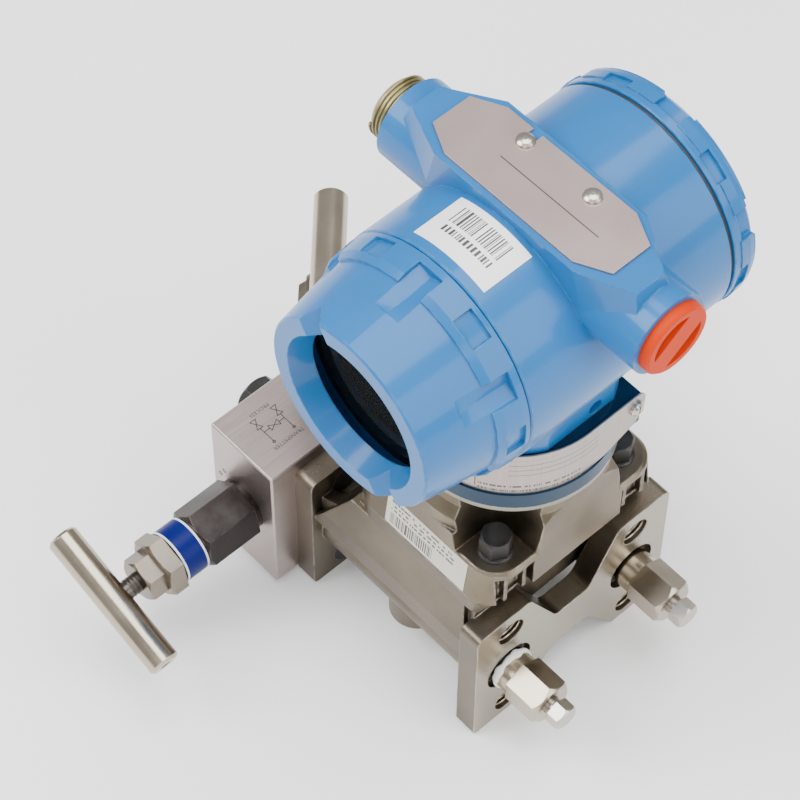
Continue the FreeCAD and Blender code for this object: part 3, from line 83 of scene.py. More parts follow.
class Canvas:
    """Adds and joins the nodes of one material or node group."""

    def __init__(self, tree: bpy.types.NodeTree) -> None:
        """Hold the tree that the nodes go in.

        Args:
            tree: the node tree to add to.
        """
        self.tree = tree
        self.column = 0

    def add(self, kind: str, **settings: object) -> bpy.types.Node:
        """Add one node and set its properties.

        Args:
            kind: the node's type name.
            settings: properties of the node.

        Returns:
            The new node.
        """
        node = self.tree.nodes.new(kind)
        node.location = (180 * self.column, 0)
        self.column += 1
        for name, value in settings.items():
            setattr(node, name, value)
        return node

    def join(self, source: bpy.types.NodeSocket, target: bpy.types.NodeSocket) -> None:
        """Link an output to an input."""
        self.tree.links.new(source, target)

    def feed(self, node: bpy.types.Node, name: object, value: object) -> None:
        """Link or set one input of a node.

        Args:
            node: the node.
            name: the input's name or place.
            value: an output socket, or a plain value.
        """
        if isinstance(value, bpy.types.NodeSocket):
            self.join(value, node.inputs[name])
        elif value is not None:
            node.inputs[name].default_value = value

    def maths(self, operation: str, *values: object) -> bpy.types.NodeSocket:
        """A Math node on up to three values.

        Args:
            operation: the node's operation.
            values: sockets or numbers.

        Returns:
            The result socket.
        """
        node = self.add("ShaderNodeMath", operation=operation)
        for place, value in enumerate(values):
            self.feed(node, place, value)
        return node.outputs[0]

    def noise(self, place: bpy.types.NodeSocket, scale: object,
              detail: float) -> bpy.types.NodeSocket:
        """A noise pattern's value.

        Args:
            place: the coordinates.
            scale: how fine it is, a number or a socket.
            detail: how many finer layers it has.

        Returns:
            The value's socket.
        """
        node = self.add("ShaderNodeTexNoise")
        self.feed(node, "Vector", place)
        self.feed(node, "Scale", scale)
        self.feed(node, "Detail", detail)
        return node.outputs[0]

    def effect(self, group: bpy.types.NodeTree, place: bpy.types.NodeSocket,
               **values: object) -> bpy.types.Node:
        """Place one of the shared effects.

        Args:
            group: the effect's group.
            place: the coordinates.
            values: its named inputs.

        Returns:
            The group node.
        """
        node = self.add("ShaderNodeGroup", node_tree=group)
        for name, value in {"Vector": place, **values}.items():
            self.feed(node, name, value)
        return node

    def split(self, place: bpy.types.NodeSocket) -> bpy.types.Node:
        """Split a vector into X, Y and Z.

        Args:
            place: the vector.

        Returns:
            The node with the three outputs.
        """
        node = self.add("ShaderNodeSeparateXYZ")
        self.join(place, node.inputs[0])
        return node

    def blend(self, share: object, first: object, second: object) -> bpy.types.NodeSocket:
        """Mix two colours.

        Args:
            share: how much of the second, from 0 to 1.
            first: a colour or a socket.
            second: a colour or a socket.

        Returns:
            The mixed colour's socket.
        """
        node = self.add("ShaderNodeMix", data_type="RGBA")
        self.feed(node, 0, share)
        self.feed(node, 6, rgba(first))
        self.feed(node, 7, rgba(second))
        return node.outputs[2]

    def span(self, value: object, low: float, high: float, out_low: float = 0.0,
             out_high: float = 1.0) -> bpy.types.NodeSocket:
        """Map a range onto another, clamped.

        Args:
            value: the socket to map.
            low: input value that gives out_low.
            high: input value that gives out_high.
            out_low: result at low.
            out_high: result at high.

        Returns:
            The mapped socket.
        """
        node = self.add("ShaderNodeMapRange")
        for place, item in enumerate((value, low, high, out_low, out_high)):
            self.feed(node, place, item)
        return node.outputs[0]


def rgba(colour: object) -> object:
    """A plain colour with its alpha, or the socket unchanged.

    Args:
        colour: three numbers, or a socket.

    Returns:
        What a node input takes.
    """
    if isinstance(colour, bpy.types.NodeSocket):
        return colour
    return (*colour, 1.0)


GroupStart = Tuple[bpy.types.NodeTree, Canvas, bpy.types.Node, bpy.types.Node]


class SharedEffects:
    """The node groups that many finishes place with their own values."""

    GRAIN_RANGE = (0.3, 0.7)
    LINES_RANGE = (0.35, 0.65)
    EDGE_RANGE = (0.995, 0.90)  # cosine between a face and its softened normal
    CHIP_RANGE = (0.4, 0.65)
    UPWARD_RANGE = (0.3, 1.0)
    SPECK_RANGE = (0.4, 0.75)
    SPECK_SCALE = 140.0
    FINE_LAYERS, BROAD_LAYERS, CHIP_LAYERS, SPECK_LAYERS = 3.0, 4.0, 2.0, 5.0

    def __init__(self) -> None:
        """Build each group once."""
        self.grain = self._grain()
        self.brushed = self._brushed()
        self.edge = self._edge()
        self.dust = self._dust()

    @staticmethod
    def _group(name: str, inputs: Dict[str, float], outputs: Dict[str, str]) -> GroupStart:
        """Start a group with its sockets: a Vector and the named ones.

        Args:
            name: the group's name.
            inputs: float inputs and their defaults.
            outputs: outputs and their socket types.

        Returns:
            The group, its canvas, its input node and its output node.
        """
        group = bpy.data.node_groups.new(name, "ShaderNodeTree")
        group.interface.new_socket("Vector", in_out="INPUT", socket_type="NodeSocketVector")
        for label, value in inputs.items():
            socket = group.interface.new_socket(label, in_out="INPUT",
                                                socket_type="NodeSocketFloat")
            socket.default_value = value
        for label, kind in outputs.items():
            group.interface.new_socket(label, in_out="OUTPUT", socket_type=kind)
        canvas = Canvas(group)
        return group, canvas, canvas.add("NodeGroupInput"), canvas.add("NodeGroupOutput")

    def _grain(self) -> bpy.types.NodeTree:
        """Cast or moulded grain: fine height and broad variation.

        Returns:
            The group.
        """
        group, canvas, source, result = self._group(
            "surface_grain", {"Scale": 900.0, "Blotch": 60.0},
            {"Height": "NodeSocketFloat", "Variation": "NodeSocketFloat"})
        place = source.outputs["Vector"]
        fine = canvas.noise(place, source.outputs["Scale"], self.FINE_LAYERS)
        broad = canvas.noise(place, source.outputs["Blotch"], self.BROAD_LAYERS)
        canvas.join(fine, result.inputs["Height"])
        canvas.join(canvas.span(broad, *self.GRAIN_RANGE), result.inputs["Variation"])
        return group

    def _brushed(self) -> bpy.types.NodeTree:
        """Fine lines: noise drawn out along one axis by the mapping before it.

        Returns:
            The group.
        """
        group, canvas, source, result = self._group(
            "brushed_lines", {"Scale": 1.0},
            {"Height": "NodeSocketFloat", "Variation": "NodeSocketFloat"})
        lines = canvas.noise(source.outputs["Vector"], source.outputs["Scale"],
                             self.BROAD_LAYERS)
        canvas.join(lines, result.inputs["Height"])
        canvas.join(canvas.span(lines, *self.LINES_RANGE), result.inputs["Variation"])
        return group

    def _edge(self) -> bpy.types.NodeTree:
        """Softened edges, and a broken mask along them for wear and for the blue enamel's painted
        edge highlight.

        Returns:
            The group.
        """
        group, canvas, source, result = self._group(
            "edge_mask_for_wear_and_highlight", {"Width": 0.0004, "Break": 300.0},
            {"Mask": "NodeSocketFloat", "Normal": "NodeSocketVector"})
        bevel = canvas.add("ShaderNodeBevel", samples=4)
        canvas.join(source.outputs["Width"], bevel.inputs["Radius"])
        face = canvas.add("ShaderNodeNewGeometry")
        dot = canvas.add("ShaderNodeVectorMath", operation="DOT_PRODUCT")
        canvas.join(bevel.outputs[0], dot.inputs[0])
        canvas.join(face.outputs["Normal"], dot.inputs[1])
        turn = canvas.span(dot.outputs["Value"], *self.EDGE_RANGE)
        chips = canvas.noise(source.outputs["Vector"], source.outputs["Break"],
                             self.CHIP_LAYERS)
        broken = canvas.maths("MULTIPLY", turn, canvas.span(chips, *self.CHIP_RANGE))
        canvas.join(broken, result.inputs["Mask"])
        canvas.join(bevel.outputs[0], result.inputs["Normal"])
        return group

    def _dust(self) -> bpy.types.NodeTree:
        """Light dust on faces that look up.

        Returns:
            The group.
        """
        group, canvas, source, result = self._group(
            "settled_dust", {"Amount": 0.1}, {"Mask": "NodeSocketFloat"})
        face = canvas.add("ShaderNodeNewGeometry")
        up = canvas.span(canvas.split(face.outputs["Normal"]).outputs[2], *self.UPWARD_RANGE)
        specks = canvas.noise(source.outputs["Vector"], self.SPECK_SCALE, self.SPECK_LAYERS)
        patch = canvas.maths("MULTIPLY", up, canvas.span(specks, *self.SPECK_RANGE))
        amount = canvas.maths("MULTIPLY", patch, source.outputs["Amount"])
        canvas.join(amount, result.inputs["Mask"])
        return group


@dataclass(frozen=True)
class Zone:
    """A stretch along one axis that has its own colour and roughness."""

    axis: Axis
    low: float
    high: float
    colour: Colour
    roughness: float


@dataclass(frozen=True)
class Finish:
    """One surface finish: colour, gloss, relief, edge wear (a painted edge highlight on the blue
    enamel) and dust.
    """

    name: str
    colour: Colour
    second: Colour
    metallic: float = 0.0
    roughness: float = 0.5
    spread: float = 0.08
    relief: Relief = Relief.GRAIN
    scale: float = 900.0
    blotch: float = 60.0
    depth: float = 0.1
    edge_width: float = 0.0004
    wear_and_highlight: float = 0.0
    worn_and_highlight: Colour = (0.6, 0.6, 0.6)
    coat: float = 0.0
    coat_roughness: float = 0.1
    dust: float = 0.05
    specular: float = 0.5
    zones: Tuple[Zone, ...] = ()

    def _relief(self, canvas: Canvas, effects: SharedEffects,
                place: bpy.types.NodeSocket) -> bpy.types.Node:
        """Place the grain or the brushed lines.

        Args:
            canvas: the material's canvas.
            effects: the shared groups.
            place: object coordinates.

        Returns:
            The group node, with Height and Variation.
        """
        if self.relief is Relief.GRAIN:
            return canvas.effect(effects.grain, place, Scale=self.scale, Blotch=self.blotch)
        stretch = {Relief.BRUSHED_Y: (1, BRUSH_STRETCH, 1),
                   Relief.BRUSHED_Z: (1, 1, BRUSH_STRETCH)}[self.relief]
        drawn = canvas.add("ShaderNodeMapping")
        drawn.inputs["Scale"].default_value = stretch
        canvas.join(place, drawn.inputs["Vector"])
        return canvas.effect(effects.brushed, drawn.outputs[0], Scale=self.scale)

    def _print(self, canvas: Canvas, place: bpy.types.NodeSocket,
               colour: bpy.types.NodeSocket) -> bpy.types.NodeSocket:
        """Printing laid over the colour: none on a plain finish."""
        return colour

    def material(self, effects: SharedEffects) -> bpy.types.Material:
        """Build the material.

        Args:
            effects: the shared groups.

        Returns:
            The finished material.
        """
        made = bpy.data.materials.new(self.name)
        made.use_nodes = True
        made.node_tree.nodes.clear()
        canvas = Canvas(made.node_tree)
        place = canvas.add("ShaderNodeTexCoord").outputs["Object"]
        relief = self._relief(canvas, effects, place)
        edge = canvas.effect(effects.edge, place, Width=self.edge_width)
        colour = canvas.blend(relief.outputs["Variation"], self.colour, self.second)
        rough = canvas.span(relief.outputs["Variation"], 0.0, 1.0,
                            max(self.roughness - self.spread, LEAST_ROUGHNESS),
                            self.roughness + self.spread)
        colour, rough = self._paint_zones(canvas, place, colour, rough)
        colour = self._print(canvas, place, colour)
        # Colour blended along the broken edge mask; on the blue enamel this is a painted edge
        # highlight.
        if self.wear_and_highlight > 0.0:
            share = canvas.maths("MULTIPLY", edge.outputs["Mask"], self.wear_and_highlight)
            colour = canvas.blend(share, colour, self.worn_and_highlight)
        if self.dust > 0.0:
            dust = canvas.effect(effects.dust, place, Amount=self.dust)
            colour = canvas.blend(dust.outputs["Mask"], colour, DUST_COLOUR)
        bump = canvas.add("ShaderNodeBump")
        bump.inputs["Strength"].default_value = self.depth
        bump.inputs["Distance"].default_value = BUMP_HEIGHT
        canvas.join(relief.outputs["Height"], bump.inputs["Height"])
        canvas.join(edge.outputs["Normal"], bump.inputs["Normal"])
        shader = self._shader(canvas)
        canvas.join(colour, shader.inputs["Base Color"])
        canvas.join(rough, shader.inputs["Roughness"])
        canvas.join(bump.outputs[0], shader.inputs["Normal"])
        result = canvas.add("ShaderNodeOutputMaterial")
        canvas.join(shader.outputs[0], result.inputs["Surface"])
        return made

    def _shader(self, canvas: Canvas) -> bpy.types.Node:
        """The Principled shader with this finish's constant values.

        Args:
            canvas: the material's canvas.

        Returns:
            The shader node.
        """
        shader = canvas.add("ShaderNodeBsdfPrincipled")
        shader.inputs["Metallic"].default_value = self.metallic
        shader.inputs["Specular IOR Level"].default_value = self.specular
        shader.inputs["Coat Weight"].default_value = self.coat
        shader.inputs["Coat Roughness"].default_value = self.coat_roughness
        return shader

    def _paint_zones(self, canvas: Canvas, place: bpy.types.NodeSocket,
                     colour: bpy.types.NodeSocket,
                     rough: bpy.types.NodeSocket) -> Tuple[bpy.types.NodeSocket, ...]:
        """Lay the zones over the colour and the roughness.

        Args:
            canvas: the material's canvas.
            place: object coordinates.
            colour: the colour so far.
            rough: the roughness so far.

        Returns:
            The new colour and roughness.
        """
        if not self.zones:
            return colour, rough
        split = canvas.split(place)
        for zone in self.zones:
            along = split.outputs[zone.axis.value]
            above = canvas.maths("GREATER_THAN", along, zone.low)
            below = canvas.maths("LESS_THAN", along, zone.high)
            inside = canvas.maths("MULTIPLY", above, below)
            colour = canvas.blend(inside, colour, zone.colour)
            mixed = canvas.add("ShaderNodeMix", data_type="FLOAT")
            canvas.join(inside, mixed.inputs[0])
            canvas.join(rough, mixed.inputs[2])
            mixed.inputs[3].default_value = zone.roughness
            rough = mixed.outputs[0]
        return colour, rough


@dataclass(frozen=True)
class Print:
    """A printed block: rows of dashes that stand for small print, bars, or full lines.

    The rows step along one axis and the dashes run along X, or round +Z where radius is set.
    A share of 1 fills each row, and a cut of 0 leaves no gaps.
    """

    rows: Axis
    low: float
    high: float
    step: float
    run_low: float
    run_high: float
    share: float = 0.45
    scale: float = 900.0
    cut: float = 0.47
    radius: float = 0.0

    def mask(self, canvas: Canvas, split: bpy.types.Node) -> bpy.types.NodeSocket:
        """Where this block has ink.

        Args:
            canvas: the material's canvas.
            split: node with the object coordinates as X, Y and Z.

        Returns:
            The mask's socket.
        """
        height = split.outputs[self.rows.value]
        if self.radius > 0.0:
            angle = canvas.maths("ARCTAN2", split.outputs[1], split.outputs[0])
            run = canvas.maths("MULTIPLY", angle, self.radius)
        else:
            run = split.outputs[Axis.X.value]
        row = canvas.maths("DIVIDE", canvas.maths("SUBTRACT", height, self.low), self.step)
        mask = canvas.maths("LESS_THAN", canvas.maths("FRACT", row), self.share)
        if self.cut > 0.0:
            spot = canvas.add("ShaderNodeCombineXYZ")
            canvas.join(canvas.maths("MULTIPLY", run, self.scale), spot.inputs[0])
            shift = canvas.maths("MULTIPLY", canvas.maths("FLOOR", row), DASH_SHIFT)
            canvas.join(shift, spot.inputs[1])
            noise = canvas.noise(spot.outputs[0], 1.0, 0.0)
            inked = canvas.maths("GREATER_THAN", noise, self.cut)
            mask = canvas.maths("MULTIPLY", mask, inked)
        for value, low, high in ((height, self.low, self.high),
                                 (run, self.run_low, self.run_high)):
            mask = canvas.maths("MULTIPLY", mask, canvas.maths("GREATER_THAN", value, low))
            mask = canvas.maths("MULTIPLY", mask, canvas.maths("LESS_THAN", value, high))
        return mask


@dataclass(frozen=True)
class PrintedFinish(Finish):
    """A finish that carries printed blocks."""

    ink: Colour = (0.08, 0.08, 0.09)
    prints: Tuple[Print, ...] = ()

    def _print(self, canvas: Canvas, place: bpy.types.NodeSocket,
               colour: bpy.types.NodeSocket) -> bpy.types.NodeSocket:
        """Lay the printed blocks over the colour.

        Args:
            canvas: the material's canvas.
            place: object coordinates.
            colour: the colour so far.

        Returns:
            The colour with print.
        """
        split = canvas.split(place)
        for block in self.prints:
            colour = canvas.blend(block.mask(canvas, split), colour, self.ink)
        return colour


@dataclass(frozen=True)
class GlassFinish(Finish):
    """Clear glass with a faint tint."""

    bending: float = 1.035

    def _shader(self, canvas: Canvas) -> bpy.types.Node:
        """The Principled shader as glass.

        Args:
            canvas: the material's canvas.

        Returns:
            The shader node.
        """
        shader = canvas.add("ShaderNodeBsdfPrincipled")
        shader.inputs["Transmission Weight"].default_value = 1.0
        shader.inputs["IOR"].default_value = self.bending
        return shader


# ---- Where things are ---------------------------------------------------------------------


def corners(node: str) -> Tuple[Vector, Vector]:
    """Lowest and highest corner of a construction node, in metres."""
    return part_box(node)


def middle(node: str) -> Vector:
    """Centre of a construction node's box."""
    low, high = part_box(node)
    return (low + high) / 2


# ---- Modelling by operators ---------------------------------------------------------------


class Bench:
    """Makes new meshes with the modelling operators, one piece at a time."""

    THREAD_STEPS = 40
    THREAD_FOOT = 0.46  # half the ridge's width at its foot, in pitches
    THREAD_TIP = 0.07  # half its width at the tip, in pitches
    THREAD_SINK = 0.2  # how far the foot goes into the metal, in ridge heights
    RING_SIDES = 40
    MERGE = 1e-6
    TAPE_SEAT = 0.2  # how far the tape's middle stands off, in swells
    TAPE_WAVES = ((5, 0.25, 1.0), (11, 0.15, 0.0))  # count, depth and phase

    @staticmethod
    def clear() -> None:
        """Deselect everything and leave edit mode."""
        if bpy.context.object and bpy.context.object.mode != "OBJECT":
            bpy.ops.object.mode_set(mode="OBJECT")
        bpy.ops.object.select_all(action="DESELECT")

    @staticmethod
    def pick(piece: bpy.types.Object) -> None:
        """Select one piece alone and make it active.

        Args:
            piece: the object.
        """
        Bench.clear()
        piece.select_set(True)
        bpy.context.view_layer.objects.active = piece

    @staticmethod
    def apply_all(piece: bpy.types.Object) -> bpy.types.Object:
        """Apply the modifiers and the place, so the object sits at the origin.

        Args:
            piece: the object to settle.

        Returns:
            The same object.
        """
        Bench.pick(piece)
        for modifier in list(piece.modifiers):
            bpy.ops.object.modifier_apply(modifier=modifier.name)
        bpy.ops.object.transform_apply(location=True, rotation=True, scale=True)
        return piece

    @staticmethod
    def outward(piece: bpy.types.Object) -> None:
        """Merge doubles and turn the faces outwards.

        Args:
            piece: the object.
        """
        Bench.pick(piece)
        bpy.ops.object.mode_set(mode="EDIT")
        bpy.ops.mesh.select_all(action="SELECT")
        bpy.ops.mesh.remove_doubles(threshold=Bench.MERGE)
        bpy.ops.mesh.normals_make_consistent(inside=False)
        bpy.ops.object.mode_set(mode="OBJECT")

    @staticmethod
    def aim(piece: bpy.types.Object, direction: Vector, place: Vector) -> bpy.types.Object:
        """Turn a piece made along +Z to a direction, put it in place and settle it.

        Args:
            piece: the object.
            direction: where its +Z goes.
            place: where its origin goes.

        Returns:
            The settled object.
        """
        piece.rotation_euler = direction.to_track_quat("Z", "Y").to_euler()
        piece.location = place
        return Bench.apply_all(piece)

    @staticmethod
    def thread(name: str, place: Vector, direction: Vector, length: float, root: float,
               crest: float, pitch: float) -> bpy.types.Object:
        """A helical thread ridge round an axis; crest under root makes an inside thread.

        Args:
            name: the piece's name.
            place: where the thread starts.
            direction: along the axis.
            length: thread length.
            root: radius of the ridge's foot.
            crest: radius of its tip.
            pitch: travel per turn.

        Returns:
            The thread.
        """
        Bench.clear()
        bpy.ops.mesh.primitive_circle_add(vertices=4, radius=pitch * 0.5, fill_type="NOTHING")
        piece = bpy.context.object
        piece.name = name
        half = pitch * Bench.THREAD_FOOT
        flat = pitch * Bench.THREAD_TIP
        sink = (root - crest) * Bench.THREAD_SINK
        spots = ((root + sink, -half), (crest, -flat), (crest, flat), (root + sink, half))
        for vertex, (radius, height) in zip(piece.data.vertices, spots):
            vertex.co = (radius, 0.0, height)
        turns = max(int(round((length - pitch) / pitch)), 1)
        screw = piece.modifiers.new("turns", "SCREW")
        screw.axis = "Z"
        screw.angle = math.tau
        screw.screw_offset = (length - pitch) / turns
        screw.iterations = turns
        screw.steps = screw.render_steps = Bench.THREAD_STEPS
        screw.use_merge_vertices = False
        piece.location = (0, 0, 0)
        Bench.apply_all(piece)
        bpy.ops.object.mode_set(mode="EDIT")
        bpy.ops.mesh.select_all(action="DESELECT")
        bpy.ops.mesh.select_mode(type="VERT")
        bpy.ops.mesh.select_non_manifold()
        bpy.ops.mesh.edge_face_add()
        bpy.ops.object.mode_set(mode="OBJECT")
        piece.data.transform(Matrix.Translation((0, 0, pitch * 0.5)))
        Bench.outward(piece)
        return Bench.aim(piece, direction, place)

    @staticmethod
    def plate(name: str, centre: Vector, size: Point, ease: float) -> bpy.types.Object:
        """A thin plate with eased corners, lying square to the axes.

        Args:
            name: the piece's name.
            centre: middle of the plate.
            size: extent along X, Y and Z.
            ease: bevel width.

        Returns:
            The plate.
        """
        Bench.clear()
        bpy.ops.mesh.primitive_cube_add(size=1.0, location=centre)
        piece = bpy.context.object
        piece.name = name
        piece.scale = size
        Bench.apply_all(piece)
        bevel = piece.modifiers.new("ease", "BEVEL")
        bevel.width = ease
        bevel.segments = 2
        return Bench.apply_all(piece)

    @staticmethod
    def bent_label(name: str, axis_at: Vector, radius: float, start: float, end: float,
                   low: float, high: float, thickness: float) -> bpy.types.Object:
        """A thin label bent round an axis along Y.

        Args:
            name: the piece's name.
            axis_at: a point on the axis.
            radius: radius of the face it lies on.
            start: first angle from +X towards +Z, in degrees.
            end: last angle.
            low: lowest Y.
            high: highest Y.
            thickness: thickness of the label.

        Returns:
            The label.
        """
        Bench.clear()
        bpy.ops.mesh.primitive_grid_add(x_subdivisions=24, y_subdivisions=4, size=2.0)
        piece = bpy.context.object
        piece.name = name
        for vertex in piece.data.vertices:
            share = (vertex.co.x + 1) / 2
            angle = math.radians(start + (end - start) * share)
            along = low + (high - low) * (vertex.co.y + 1) / 2
            out, up = radius * math.cos(angle), radius * math.sin(angle)
            vertex.co = (axis_at.x + out, along, axis_at.z + up)
        Bench.outward(piece)
        solid = piece.modifiers.new("thickness", "SOLIDIFY")
        solid.thickness = thickness
        solid.offset = 1.0
        return Bench.apply_all(piece)

    @staticmethod
    def ring(name: str, place: Vector, direction: Vector, radius: float, width: float,
             thickness: float) -> bpy.types.Object:
        """A flat thin ring, as for an engraved circle.

        Args:
            name: the piece's name.
            place: centre of its underside.
            direction: its normal.
            radius: outer radius.
            width: width of the line.
            thickness: its height.

        Returns:
            The ring.
        """
        Bench.clear()
        bpy.ops.mesh.primitive_circle_add(vertices=Bench.RING_SIDES, radius=radius,
                                          fill_type="NGON")
        piece = bpy.context.object
        piece.name = name
        bpy.ops.object.mode_set(mode="EDIT")
        bpy.ops.mesh.select_all(action="SELECT")
        bpy.ops.mesh.inset(thickness=width)
        bpy.ops.mesh.delete(type="FACE")
        bpy.ops.mesh.select_all(action="SELECT")
        bpy.ops.mesh.extrude_region_move(TRANSFORM_OT_translate={"value": (0, 0, thickness)})
        bpy.ops.mesh.select_all(action="SELECT")
        bpy.ops.mesh.normals_make_consistent(inside=False)
        bpy.ops.object.mode_set(mode="OBJECT")
        return Bench.aim(piece, direction, place)

    @staticmethod
    def tape(name: str, place: Vector, direction: Vector, radius: float, width: float,
             swell: float) -> bpy.types.Object:
        """Wound sealing tape: an uneven sleeve with a ragged edge.

        Args:
            name: the piece's name.
            place: where it starts.
            direction: along the axis.
            radius: radius of what it is wound on.
            width: its length.
            swell: how far it stands proud.

        Returns:
            The sleeve.
        """
        Bench.clear()
        bpy.ops.mesh.primitive_torus_add(major_radius=radius + swell * Bench.TAPE_SEAT,
                                         minor_radius=swell, major_segments=64,
                                         minor_segments=10)
        piece = bpy.context.object
        piece.name = name
        for vertex in piece.data.vertices:
            angle = math.atan2(vertex.co.y, vertex.co.x)
            ragged = 1.0
            for count, depth, phase in Bench.TAPE_WAVES:
                ragged += depth * math.sin(count * angle + phase)
            vertex.co.z = vertex.co.z / swell * width * 0.5 * ragged + width * 0.5
        return Bench.aim(piece, direction, place)

    @staticmethod
    def joined(name: str, pieces: Sequence[bpy.types.Object]) -> bpy.types.Object:
        """Join several meshes into one piece.

        Args:
            name: name of the result.
            pieces: the meshes.

        Returns:
            The joined piece.
        """
        Bench.clear()
        for piece in pieces:
            piece.select_set(True)
        bpy.context.view_layer.objects.active = pieces[0]
        bpy.ops.object.join()
        result = bpy.context.object
        result.name = name
        return result


# ---- Finishes -----------------------------------------------------------------------------


class Palette:
    """Every finish of the transmitter, with its material made on first use."""

    def __init__(self) -> None:
        """Prepare the shared groups and the finishes that depend on no piece."""
        self.effects = SharedEffects()
        self.made: Dict[str, bpy.types.Material] = {}
        self.machined = Finish(
            "machined_stainless", (0.41, 0.345, 0.325), (0.46, 0.39, 0.37), metallic=1.0,
            roughness=0.34, spread=0.03, relief=Relief.BRUSHED_Y, scale=1600.0, depth=0.03,
            wear_and_highlight=0.4, worn_and_highlight=(0.8, 0.78, 0.76))
        self.turned = Finish(
            "turned_stainless", (0.37, 0.315, 0.245), (0.45, 0.39, 0.31), metallic=1.0,
            roughness=0.24, spread=0.05, scale=700.0, depth=0.06, wear_and_highlight=0.4,
            worn_and_highlight=(0.78, 0.75, 0.71), edge_width=0.0003)
        self.nut = Finish(
            "turned_nut", (0.15, 0.126, 0.10), (0.24, 0.205, 0.165), metallic=1.0, roughness=0.28,
            spread=0.05, scale=700.0, depth=0.08, wear_and_highlight=0.5, worn_and_highlight=(0.6, 0.56, 0.5),
            edge_width=0.0003)
        self.bright = Finish(
            "bright_fastener", (0.42, 0.385, 0.33), (0.54, 0.50, 0.44), metallic=1.0,
            roughness=0.25, spread=0.05, scale=800.0, depth=0.05, wear_and_highlight=0.5, worn_and_highlight=(0.85, 0.83, 0.8),
            edge_width=0.0003)
        self.worked = Finish(
            "oiled_thread_steel", (0.07, 0.062, 0.052), (0.12, 0.108, 0.092), metallic=1.0,
            roughness=0.34, spread=0.06, scale=900.0, depth=0.08, wear_and_highlight=0.4, worn_and_highlight=(0.5, 0.48, 0.45),
            edge_width=0.0002)
        self.black = Finish(
            "black_bolt_steel", (0.008, 0.008, 0.009), (0.016, 0.015, 0.015), metallic=0.3,
            roughness=0.42, spread=0.08, scale=1200.0, depth=0.15, wear_and_highlight=0.35,
            worn_and_highlight=(0.2, 0.19, 0.18))
        self.brown = Finish(
            "dark_bonnet_steel", (0.016, 0.0125, 0.0115), (0.034, 0.026, 0.024), metallic=0.8,
            roughness=0.35, spread=0.08, scale=1100.0, depth=0.15, wear_and_highlight=0.45,
            worn_and_highlight=(0.28, 0.24, 0.2))
        # The blue enamel's lighter edge colour is a painted highlight along its edges.
        self.blue = Finish(
            "blue_enamel", (0.008, 0.116, 0.325), (0.011, 0.133, 0.37), metallic=0.0,
            roughness=0.42, spread=0.04, scale=620.0, blotch=30.0, depth=0.12, edge_width=0.0007,
            wear_and_highlight=0.5, worn_and_highlight=(0.10, 0.33, 0.56), coat=0.4, coat_roughness=0.13, dust=0.0,
            specular=0.15)
        # Blue paint of the module collar, darkened as painted shade under the housing.
        self.painted_shade_blue = Finish(
            "blue_enamel_painted_shade", (0.001, 0.021, 0.05), (0.001, 0.026, 0.06), metallic=0.0,
            roughness=0.34, spread=0.05, scale=620.0, blotch=30.0, depth=0.10, wear_and_highlight=0.1,
            worn_and_highlight=(0.05, 0.16, 0.32), coat=0.15, dust=0.0, specular=0.15)
        self.glass = GlassFinish(
            "window_glass", (0.42, 0.52, 0.58), (0.42, 0.52, 0.58), metallic=0.0, roughness=0.03,
            spread=0.0, depth=0.0, dust=0.0)
        self.rubber = Finish(
            "seal_rubber", (0.012, 0.012, 0.012), (0.022, 0.022, 0.022), metallic=0.0,
            roughness=0.6, spread=0.06, scale=1400.0, depth=0.2)
        self.white = Finish(
            "white_fluoropolymer", (0.74, 0.74, 0.72), (0.82, 0.82, 0.80), metallic=0.0,
            roughness=0.5, spread=0.06, scale=900.0, depth=0.2, dust=0.0)
        self.orange = Finish(
            "orange_plug_plastic", (0.50, 0.029, 0.0), (0.54, 0.035, 0.0), metallic=0.0,
            roughness=0.50, spread=0.06, scale=900.0, depth=0.10, wear_and_highlight=0.1,
            worn_and_highlight=(0.85, 0.12, 0.005), dust=0.0, specular=0.1)
        self.olive = Finish(
            "olive_passivated", (0.26, 0.225, 0.10), (0.36, 0.32, 0.17), metallic=0.85,
            roughness=0.36, spread=0.08, scale=700.0, blotch=120.0, depth=0.15, wear_and_highlight=0.5,
            worn_and_highlight=(0.55, 0.5, 0.36))
        self.dark = Finish(
            "dark_moulding", (0.012, 0.012, 0.014), (0.02, 0.02, 0.022), metallic=0.0,
            roughness=0.38, spread=0.06, scale=1300.0, depth=0.2, dust=0.0)
        self.screen = Finish(
            "dark_screen", (0.004, 0.006, 0.008), (0.006, 0.009, 0.012), metallic=0.0,
            roughness=0.6, spread=0.02, scale=200.0, depth=0.0, edge_width=0.0001, dust=0.0,
            specular=0.1)
        self.grey = Finish(
            "grey_moulding", (0.16, 0.165, 0.17), (0.19, 0.195, 0.2), metallic=0.0, roughness=0.5,
            spread=0.06, scale=1300.0, depth=0.2, dust=0.0)
        self.ink = Finish(
            "engraved_line", (0.06, 0.045, 0.04), (0.09, 0.07, 0.06), metallic=0.2, roughness=0.6,
            spread=0.06, depth=0.1, dust=0.0)

    def material(self, finish: Finish) -> bpy.types.Material:
        """The finish's material, built once.

        Args:
            finish: the finish.

        Returns:
            Its material.
        """
        if finish.name not in self.made:
            self.made[finish.name] = finish.material(self.effects)
        return self.made[finish.name]

    def dress(self, piece: bpy.types.Object, finish: Finish) -> bpy.types.Object:
        """Give a piece one finish all over.

        Args:
            piece: the object.
            finish: its finish.

        Returns:
            The object.
        """
        made = self.material(finish)
        if not piece.material_slots:
            piece.data.materials.append(made)
        for place in piece.material_slots:
            place.material = made
        return piece

